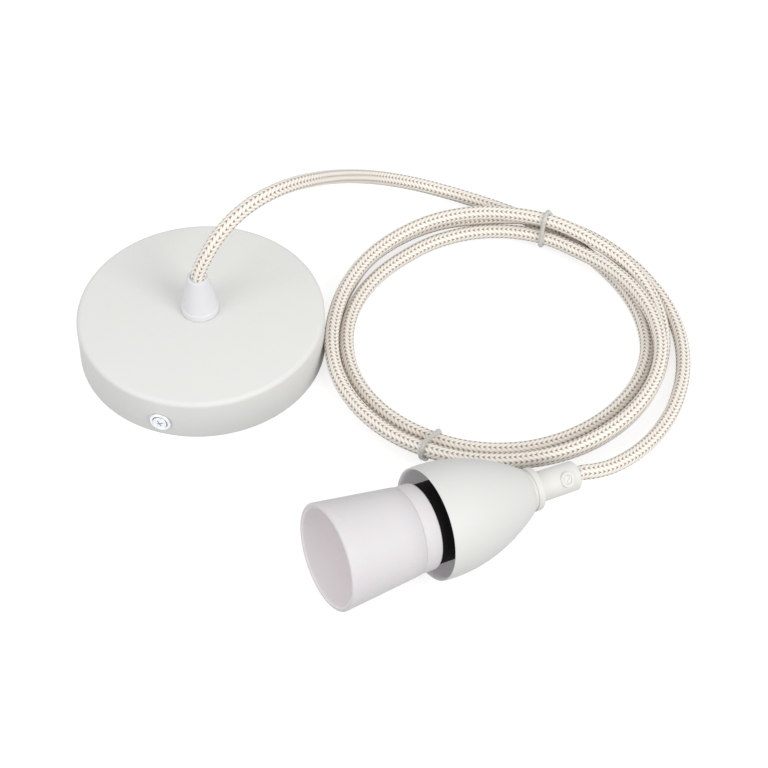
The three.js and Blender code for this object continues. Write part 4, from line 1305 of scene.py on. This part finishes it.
@dataclass
class CeilingRose:
    """The cup, its side screws and the cone that grips the cord, in millimetres.

    Args:
        radius: The cup's radius.
        height: Height of the cup's edge.
        crown: How far the middle of its top stands above the edge.
        wall: Thickness of the cup.
        edge: Radius that rounds the cup's edge.
        bore: Radius of the cone's hole in the cup.
        seat: Radius of the level middle that the cone stands on.
        screw_azimuth: Where the front side screw is, in degrees.
        screw_height: Height of the side screws' middle.
        screw_turn: How far the cross recesses are turned, in degrees.
        screw_head: The side screws' head.
        wall_gap: Gap between the cup's wall and the washer.
        washer_radius: The washer's radius.
        washer_height: The dished washer's height.
        cone_base: Radius of the cone's foot.
        cone_rim: Height of the cone's straight foot.
        cone_tip: Radius of the cone's tip.
        cone_round: Radius that rounds the tip.
        cone_shoulder: How far the flank stands in from the foot.
        cone_swell: How far the flank swells out of a straight line.
        cone_bore: Radius of the cord's hole.
        cone_start: Height of the cone's underside.
        cone_height: Height of the cone itself.
    """

    radius: float = 59.5
    height: float = 23.0
    crown: float = 2.0
    wall: float = 1.2
    edge: float = 2.5
    bore: float = 5.3
    seat: float = 10.5
    screw_azimuth: float = -106.0
    screw_height: float = 9.2
    screw_turn: float = 24.0
    screw_head: ScrewHead = field(default_factory=lambda: ScrewHead(radius=3.4, depth=1.2, dome=0.5))
    wall_gap: float = 0.05
    washer_radius: float = 5.2
    washer_height: float = 1.4
    cone_base: float = 9.0
    cone_rim: float = 3.1
    cone_tip: float = 5.2
    cone_round: float = 0.9
    cone_shoulder: float = 0.5
    cone_swell: float = 0.3
    cone_bore: float = 3.6
    cone_start: float = 25.3
    cone_height: float = 21.3

    def cup_outline(self) -> Profile:
        """Section of the cup's wall, from the bore out and back inside."""
        flat = self.radius - self.edge
        outer: Profile = [(self.bore, self.height + self.crown)]
        inner: Profile = [(self.bore, self.height + self.crown - self.wall)]
        for share in shares(10):
            radius = self.seat + (flat - self.seat) * share
            top = self.height + self.crown * (1 - share**2)
            outer.append((radius, top))
            inner.append((radius, top - self.wall))
        middle = (flat, self.height - self.edge)
        outer += arc(middle, self.edge, 90, 0, 8)[1:]
        inner += arc(middle, self.edge - self.wall, 90, 0, 8)[1:]
        lip = self.wall / 2
        outer += arc((self.radius - lip, lip), lip, 0, -180, 6)[:-1]
        inner.append((self.radius - self.wall, lip))
        return outer + inner[::-1]

    def cone_outline(self) -> Profile:
        """Section of the cone: a short straight rim, a swelling flank and a rounded tip."""
        base = self.cone_start
        flank_start = base + self.cone_rim
        tip = base + self.cone_height
        outline = [(self.cone_bore, base), (self.cone_base, base), (self.cone_base, flank_start - 0.4)]
        shoulder = self.cone_base - self.cone_shoulder
        bend = tip - self.cone_round
        for share in shares(12)[:-1]:
            swell = self.cone_swell * math.sin(math.pi * share)
            radius = shoulder + (self.cone_tip - shoulder) * share + swell
            outline.append((radius, flank_start + (bend - flank_start) * share))
        outline += arc((self.cone_tip - self.cone_round, bend), self.cone_round, 0, 90, 6)
        outline.append((self.cone_bore, tip))
        return outline

    def washer_outline(self) -> Profile:
        """Section of the dished washer, its back on the wall."""
        high = self.washer_height
        return rounded(
            [
                Corner(2.3, 0),
                Corner(self.washer_radius, 0, 0.2),
                Corner(self.washer_radius, high * 0.6, 0.3),
                Corner(self.washer_radius - 0.5, high, 0.3),
                Corner(4.0, high, 0.2),
                Corner(3.6, high - 0.5),
            ],
            steps=4,
        )

    def build(self) -> None:
        """Makes every visible piece of the rose."""
        cup = turned(self.cup_outline(), Sides.BIG)
        publish("rose_cup_shell", cup, Finishes.white_paint, "rose_cup", sharp=50.0)
        cone = turned(self.cone_outline(), Sides.MEDIUM)
        publish("cord_cone_shell", cone, Finishes.white_plastic, "rose_cord_cone")
        spin = Matrix.Rotation(math.radians(self.screw_turn), 4, "Z")
        for side, azimuth in (("front", self.screw_azimuth), ("rear", self.screw_azimuth + 180)):
            turn = math.radians(azimuth)
            out = Vector((math.cos(turn), math.sin(turn), 0.0))
            spot = out * (self.radius + self.wall_gap) + Vector((0, 0, self.screw_height))
            washer = turned(self.washer_outline(), Sides.SMALL, aimed(spot, out))
            publish(f"washer_{side}", washer, Finishes.zinc_steel, f"side_washer_{side}")
            head = self.screw_head.mesh(aimed(spot + out * (self.washer_height - 0.1), out) @ spin)
            publish(f"screw_{side}", head, Finishes.zinc_steel, f"side_screw_{side}")
        log.info("ceiling rose built")


@dataclass
class Lampholder:
    """The lampholder along its own axis, which runs from the mouth to the cord, in millimetres.

    A start, end, front, rear or place is a distance along the axis from the mouth.

    Args:
        mouth: Centre of the mouth, whose height rest() sets.
        azimuth: Direction of the axis in plan, in degrees.
        pitch: Slope of the axis, in degrees.
        sleeve_mouth: The sleeve's radius at its mouth.
        sleeve_rear: The sleeve's radius at its rear.
        sleeve_wall: Thickness of the sleeve.
        sleeve_length: Length of the sleeve.
        sleeve_edge: Size of the sleeve's bevel at its rear.
        neck_radius: The neck ring's radius.
        neck_start: Front of the neck ring.
        neck_end: Rear of the neck ring.
        neck_bore: Radius of the hole in the neck ring.
        neck_spigot: Radius of its spigot, which goes into the sleeve.
        spigot_length: Length of the spigots of neck ring and body.
        bell_front: Front of the bell.
        bell_widest: Where the bell is widest.
        bell_radius: The bell's radius there.
        bell_curve: Length in which the bell's curve would close.
        bell_rear: Rear of the bell.
        bell_wall: Thickness of the bell.
        bell_rim: Thickness of the bell at its rim.
        bell_rim_round: Size of the bevels of the rim.
        body_radius: The black body's radius.
        body_start: Front of the black body.
        body_end: Rear of the black body.
        collar_radius: The collar nut's radius.
        collar_start: Front of the collar nut.
        collar_end: Rear of the collar nut.
        grip_radius: The grip's radius.
        grip_start: Front of the grip.
        grip_end: Rear of the grip.
        thread_bore: Radius of the holes for the threaded tube.
        thread_depth: How far the tube goes into the grip.
        cord_bore: Radius of the cord's hole.
        boss_place: Where the grub screw's boss is.
        boss_azimuth: Where it is around the grip, in degrees.
        boss_radius: The boss's radius.
        boss_rise: How far it stands proud of the grip.
        slot_turn: How far the grub screw's slot is turned, in degrees.
        grub_head: The grub screw's head.
    """

    mouth: Point = (62.8, -155.98, 33.8)
    azimuth: float = 28.25
    pitch: float = -7.66
    sleeve_mouth: float = 24.6
    sleeve_rear: float = 20.3
    sleeve_wall: float = 2.2
    sleeve_length: float = 39.0
    sleeve_edge: float = 0.3
    neck_radius: float = 19.9
    neck_start: float = 39.08
    neck_end: float = 47.3
    neck_bore: float = 15.8
    neck_spigot: float = 17.4
    spigot_length: float = 8.0
    bell_front: float = 49.8
    bell_widest: float = 55.0
    bell_radius: float = 26.1
    bell_curve: float = 60.0
    bell_rear: float = 101.0
    bell_wall: float = 1.2
    bell_rim: float = 0.55
    bell_rim_round: float = 0.18
    body_radius: float = 18.4
    body_start: float = 47.6
    body_end: float = 77.6
    collar_radius: float = 10.1
    collar_start: float = 101.3
    collar_end: float = 106.1
    grip_radius: float = 7.1
    grip_start: float = 106.4
    grip_end: float = 128.0
    thread_bore: float = 5.3
    thread_depth: float = 9.0
    cord_bore: float = 3.6
    boss_place: float = 120.0
    boss_azimuth: float = 134.0
    boss_radius: float = 3.6
    boss_rise: float = 0.55
    slot_turn: float = -50.0
    grub_head: ScrewHead = field(default_factory=lambda: ScrewHead(2.05, 3.0, 0.1, Recess.SLOT, 0.55, 0.8))

    @property
    def axis(self) -> Vector:
        """Unit vector from the mouth to the cord."""
        turn, slope = math.radians(self.azimuth), math.radians(self.pitch)
        return Vector((math.cos(slope) * math.cos(turn), math.cos(slope) * math.sin(turn), math.sin(slope)))

    @property
    def place(self) -> Matrix:
        """Placement with Z along the axis and Y as near upward as it can be."""
        return aimed(Vector(self.mouth), self.axis)

    def on_axis(self, distance: float) -> Vector:
        """A point on the axis, at a distance from the mouth."""
        return Vector(self.mouth) + self.axis * distance

    def rest(self) -> None:
        """Sets the height of the mouth so that the bell rests on the surface."""
        low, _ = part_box("bell_cover")
        slope = math.radians(self.pitch)
        places = [self.bell_front + i for i in range(math.ceil(self.bell_rear - self.bell_front))]
        drop = max(self.bell_profile(t) * math.cos(slope) - t * math.sin(slope) for t in places)
        self.mouth = (self.mouth[0], self.mouth[1], drop + low[2] / MM)

    def bell_profile(self, place: float) -> float:
        """Outer radius of the bell at a place along the axis."""
        return self.bell_radius * (1 - ((place - self.bell_widest) / self.bell_curve) ** 2)

    def sleeve_outline(self) -> Profile:
        """Section of the front sleeve, with a full round mouth rim."""
        lip = self.sleeve_wall / 2
        outer: Profile = []
        for share in shares(4):
            radius = self.sleeve_mouth + (self.sleeve_rear - self.sleeve_mouth) * share
            outer.append((radius, lip + (self.sleeve_length - lip) * share))
        radius, rear = outer[-1]
        outer[-1:] = [(radius, rear - self.sleeve_edge), (radius - self.sleeve_edge, rear)]
        inner = [(radius - self.sleeve_wall, height) for radius, height in reversed(outer[:-1])]
        inner[0] = (inner[0][0], self.sleeve_length)
        return outer + inner + arc((self.sleeve_mouth - lip, lip), lip, 180, 360, 12)[1:-1]

    def sleeve_lined(self, centre: Vector) -> bool:
        """Whether a face of the sleeve with that centre is on its inside."""
        radius = self.sleeve_mouth + (self.sleeve_rear - self.sleeve_mouth) * centre.z / self.sleeve_length
        return centre.xy.length < radius - self.sleeve_wall * 0.75

    def neck_outline(self) -> Profile:
        """Section of the neck ring and its hidden spigot."""
        return rounded(
            [
                Corner(self.neck_bore, self.neck_start - self.spigot_length),
                Corner(self.neck_spigot, self.neck_start - self.spigot_length),
                Corner(self.neck_spigot, self.neck_start),
                Corner(self.neck_radius, self.neck_start, 0.3),
                Corner(self.neck_radius, self.neck_end, 1.1),
                Corner(self.neck_bore, self.neck_end),
            ],
            steps=5,
        )

    def body_outline(self) -> Profile:
        """Section of the black body behind the neck ring, with two shallow rings."""
        front, rear, radius = self.body_start, self.body_end, self.body_radius
        return rounded(
            [
                Corner(14.1, front - 9),
                Corner(15.5, front - 9),
                Corner(15.5, front),
                Corner(radius, front, 0.4),
                Corner(radius, front + 6.0, 0.2),
                Corner(radius - 0.5, front + 6.4),
                Corner(radius - 0.5, front + 7.4),
                Corner(radius, front + 7.8, 0.2),
                Corner(radius, rear, 0.4),
                Corner(radius - 1.4, rear),
                Corner(radius - 1.4, front + 2),
                Corner(14.1, front + 2),
            ],
            steps=3,
        )

    def bell_outlines(self) -> tuple[Profile, Profile]:
        """The outer and inner lines of the bell, from its rim to its rear hole."""
        outer: Profile = []
        inner: Profile = []
        for share in shares(30):
            place = self.bell_front + (self.bell_rear - self.bell_front) * share
            radius = self.bell_profile(place)
            slope = 2 * self.bell_radius * (place - self.bell_widest) / self.bell_curve**2
            tilt = math.hypot(1, slope)
            outer.append((radius, place))
            inside = (radius - self.bell_wall / tilt, place - self.bell_wall * slope / tilt)
            if inside[1] < self.bell_rear - 2 * self.bell_wall:
                inner.append(inside)
        inner[0] = (self.bell_profile(self.bell_front) - self.bell_rim, self.bell_front)
        return outer, inner

    def bell_outline(self) -> Profile:
        """Section of the bell as one closed shell."""
        outer, inner = self.bell_outlines()
        front, rear, bevel = self.bell_front, self.bell_rear, self.bell_rim_round
        rim_out, rim_in = outer[0][0] + 0.02, inner[0][0]
        outer[0] = (rim_out, front + bevel)
        inner[0] = (rim_in, front + bevel)
        radius = outer[-1][0]
        outer[-1:] = [(radius + 0.2, rear - 0.5), (radius - 0.5, rear), (self.thread_bore, rear)]
        plate = rear - self.bell_wall
        back = [(self.thread_bore, plate), (inner[-1][0] - 1.0, plate)]
        return [(rim_out - bevel, front), *outer, *back, *reversed(inner), (rim_in + bevel, front)]

    def bell_lined(self, centre: Vector) -> bool:
        """Whether a face of the bell with that centre is on its inside."""
        inside = centre.xy.length < self.bell_profile(centre.z) - self.bell_rim * 0.75
        return inside and centre.z < self.bell_rear - self.bell_wall / 2

    def shell(self, outline: Profile, is_inside: Callable[[Vector], bool]) -> bmesh.types.BMesh:
        """Turns a shell on the axis, with its inner faces in the second material.

        Args:
            outline: The shell's section.
            is_inside: Tells from a face's centre whether the face is on the inside.

        Returns:
            The mesh in millimetres.
        """
        made = turned(outline, Sides.BIG)
        for face in made.faces:
            face.material_index = int(is_inside(face.calc_center_median()))
        bmesh.ops.transform(made, matrix=self.place, verts=made.verts)
        return made

    def shell_mesh(self) -> bmesh.types.BMesh:
        """The rolled screw shell, with a real spiral thread."""
        start, pitch, turns = 38.6, 3.63, 6.0
        collar, sheet, crest, depth = 1.0, 0.4, 13.4, 1.1
        rows, columns = 72, 64
        made = bmesh.new()
        surfaces = []
        for offset in (0.0, sheet):
            rings = []
            for share in shares(rows):
                along = (collar + turns * pitch) * share
                fade = min(1.0, along / (collar + pitch))
                ring = []
                for turn in circle(columns):
                    wave = 0.5 - 0.5 * math.cos(2 * math.pi * (along - collar) / pitch - turn)
                    radius = crest - depth * wave * fade + offset
                    spot = (radius * math.cos(turn), radius * math.sin(turn), start + along)
                    ring.append(made.verts.new(spot))
                rings.append(ring)
            surfaces.append(rings)
        for rings in surfaces:
            for low, high in zip(rings, rings[1:]):
                bridge(made, low, high)
        for end in (0, -1):
            bridge(made, surfaces[0][end], surfaces[1][end])
        floor = start + collar + turns * pitch
        hole, brim = 7.0, crest - 0.1
        section = [(hole, floor + 0.02), (brim, floor + 0.02), (brim, floor + sheet), (hole, floor + sheet)]
        whole = joined([made, turned(section, Sides.MEDIUM)])
        bmesh.ops.transform(whole, matrix=self.place, verts=whole.verts)
        return whole

    def collar_outline(self) -> Profile:
        """Section of the collar nut."""
        return rounded(
            [
                Corner(self.thread_bore, self.collar_start),
                Corner(self.collar_radius - 0.6, self.collar_start, 0.3),
                Corner(self.collar_radius - 0.6, self.collar_start + 1.4),
                Corner(self.collar_radius, self.collar_start + 1.6, 0.3),
                Corner(self.collar_radius, self.collar_end, 0.6),
                Corner(self.thread_bore, self.collar_end),
            ],
            steps=4,
        )

    def grip_outline(self) -> Profile:
        """Section of the side cord grip, slightly narrower and rounded at its rear."""
        return rounded(
            [
                Corner(self.thread_bore, self.grip_start),
                Corner(self.grip_radius, self.grip_start, 0.3),
                Corner(self.grip_radius - 0.1, self.grip_start + 10, 2.0),
                Corner(self.grip_radius - 0.25, self.grip_end - 1.0, 0.9),
                Corner(self.grip_radius - 1.3, self.grip_end, 0.6),
                Corner(self.cord_bore, self.grip_end, 0.2),
                Corner(self.cord_bore, self.grip_start + self.thread_depth),
                Corner(self.thread_bore, self.grip_start + self.thread_depth),
            ],
        )

    def boss_place_matrix(self) -> Matrix:
        """Placement of the grub screw's boss, with Z out of the grip."""
        turn = math.radians(self.boss_azimuth)
        out = Vector((math.cos(turn), math.sin(turn), 0.0))
        return self.place @ aimed(Vector((0, 0, self.boss_place)), out, Vector((0, 0, 1)))

    def piece(self, name: str, outline: Profile, sides: Sides, finish: Finishes, node: str) -> None:
        """Makes one turned piece on the axis, in place of its node."""
        publish(name, turned(outline, sides, self.place), finish, node)

    def build_grip(self) -> None:
        """Makes the side cord grip with its boss, and the grub screw in it."""
        top = self.grip_radius + self.boss_rise
        well = top - 0.25
        outline = rounded(
            [
                Corner(2.1, 5.6),
                Corner(self.boss_radius, 5.6),
                Corner(self.boss_radius, top, 0.4),
                Corner(2.9, top, 0.25),
                Corner(2.6, well, 0.2),
                Corner(2.1, well, 0.1),
            ],
            steps=5,
        )
        barrel = turned(self.grip_outline(), Sides.MEDIUM, self.place)
        boss = turned(outline, Sides.SMALL, self.boss_place_matrix())
        publish("side_cord_grip_shell", joined([barrel, boss]), Finishes.ivory_plastic, "side_cord_grip")
        turn = Matrix.Rotation(math.radians(self.slot_turn), 4, "Z")
        place = self.boss_place_matrix() @ Matrix.Translation((0, 0, self.grip_radius + 0.05)) @ turn
        publish("grub_screw_head", self.grub_head.mesh(place), Finishes.ivory_plastic, "grip_grub_screw")

    def build(self) -> None:
        """Makes every visible piece of the lampholder."""
        sleeve = self.shell(self.sleeve_outline(), self.sleeve_lined)
        # The sleeve's inside gets the lining with painted light
        lining = Finishes.sleeve_inside
        publish("sleeve_shell", sleeve, Finishes.lilac_plastic, "front_sleeve", sharp=40.0, lining=lining)
        self.piece("neck_ring_shell", self.neck_outline(), Sides.BIG, Finishes.lilac_plastic, "neck_ring")
        self.piece("black_body_shell", self.body_outline(), Sides.BIG, Finishes.black_plastic, "holder_body")
        # The bell's outside is the darker white paint with painted shade, its inside the lining with painted
        # light
        bell = self.shell(self.bell_outline(), self.bell_lined)
        publish(
            "bell_shell",
            bell,
            Finishes.bell_paint,
            "bell_cover",
            sharp=40.0,
            slot="white_paint",
            lining=Finishes.bell_inside,
        )
        publish("screw_shell", self.shell_mesh(), Finishes.nickel, "bulb_screw_shell", sharp=60.0)
        self.piece("collar_shell", self.collar_outline(), Sides.MEDIUM, Finishes.ivory_plastic, "collar_nut")
        self.build_grip()
        log.info("lampholder built")


def dress_frame_nodes() -> None:
    """Gives every CAD node that stays in view the finish of its slot."""
    slots = {entry["node"]: entry["material_slot"] for entry in frame["record"]["subparts"]}
    for name, node in frame["nodes"].items():
        material = Finishes[slots[name]].material()
        if not node.material_slots:
            node.data.materials.append(material)
        for slot in node.material_slots:
            slot.material = material


def main() -> None:
    """Builds the whole scene in order."""
    logging.basicConfig(level=logging.INFO)
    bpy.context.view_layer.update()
    StudioCamera().build()
    lampholder = Lampholder()
    lampholder.rest()
    CordCoil().build(lampholder.on_axis(lampholder.grip_end), lampholder.axis)
    dress_frame_nodes()
    CeilingRose().build()
    lampholder.build()
    Studio().build()
    bpy.context.scene.view_settings.view_transform = "Standard"


if __name__ == "__main__":
    main()
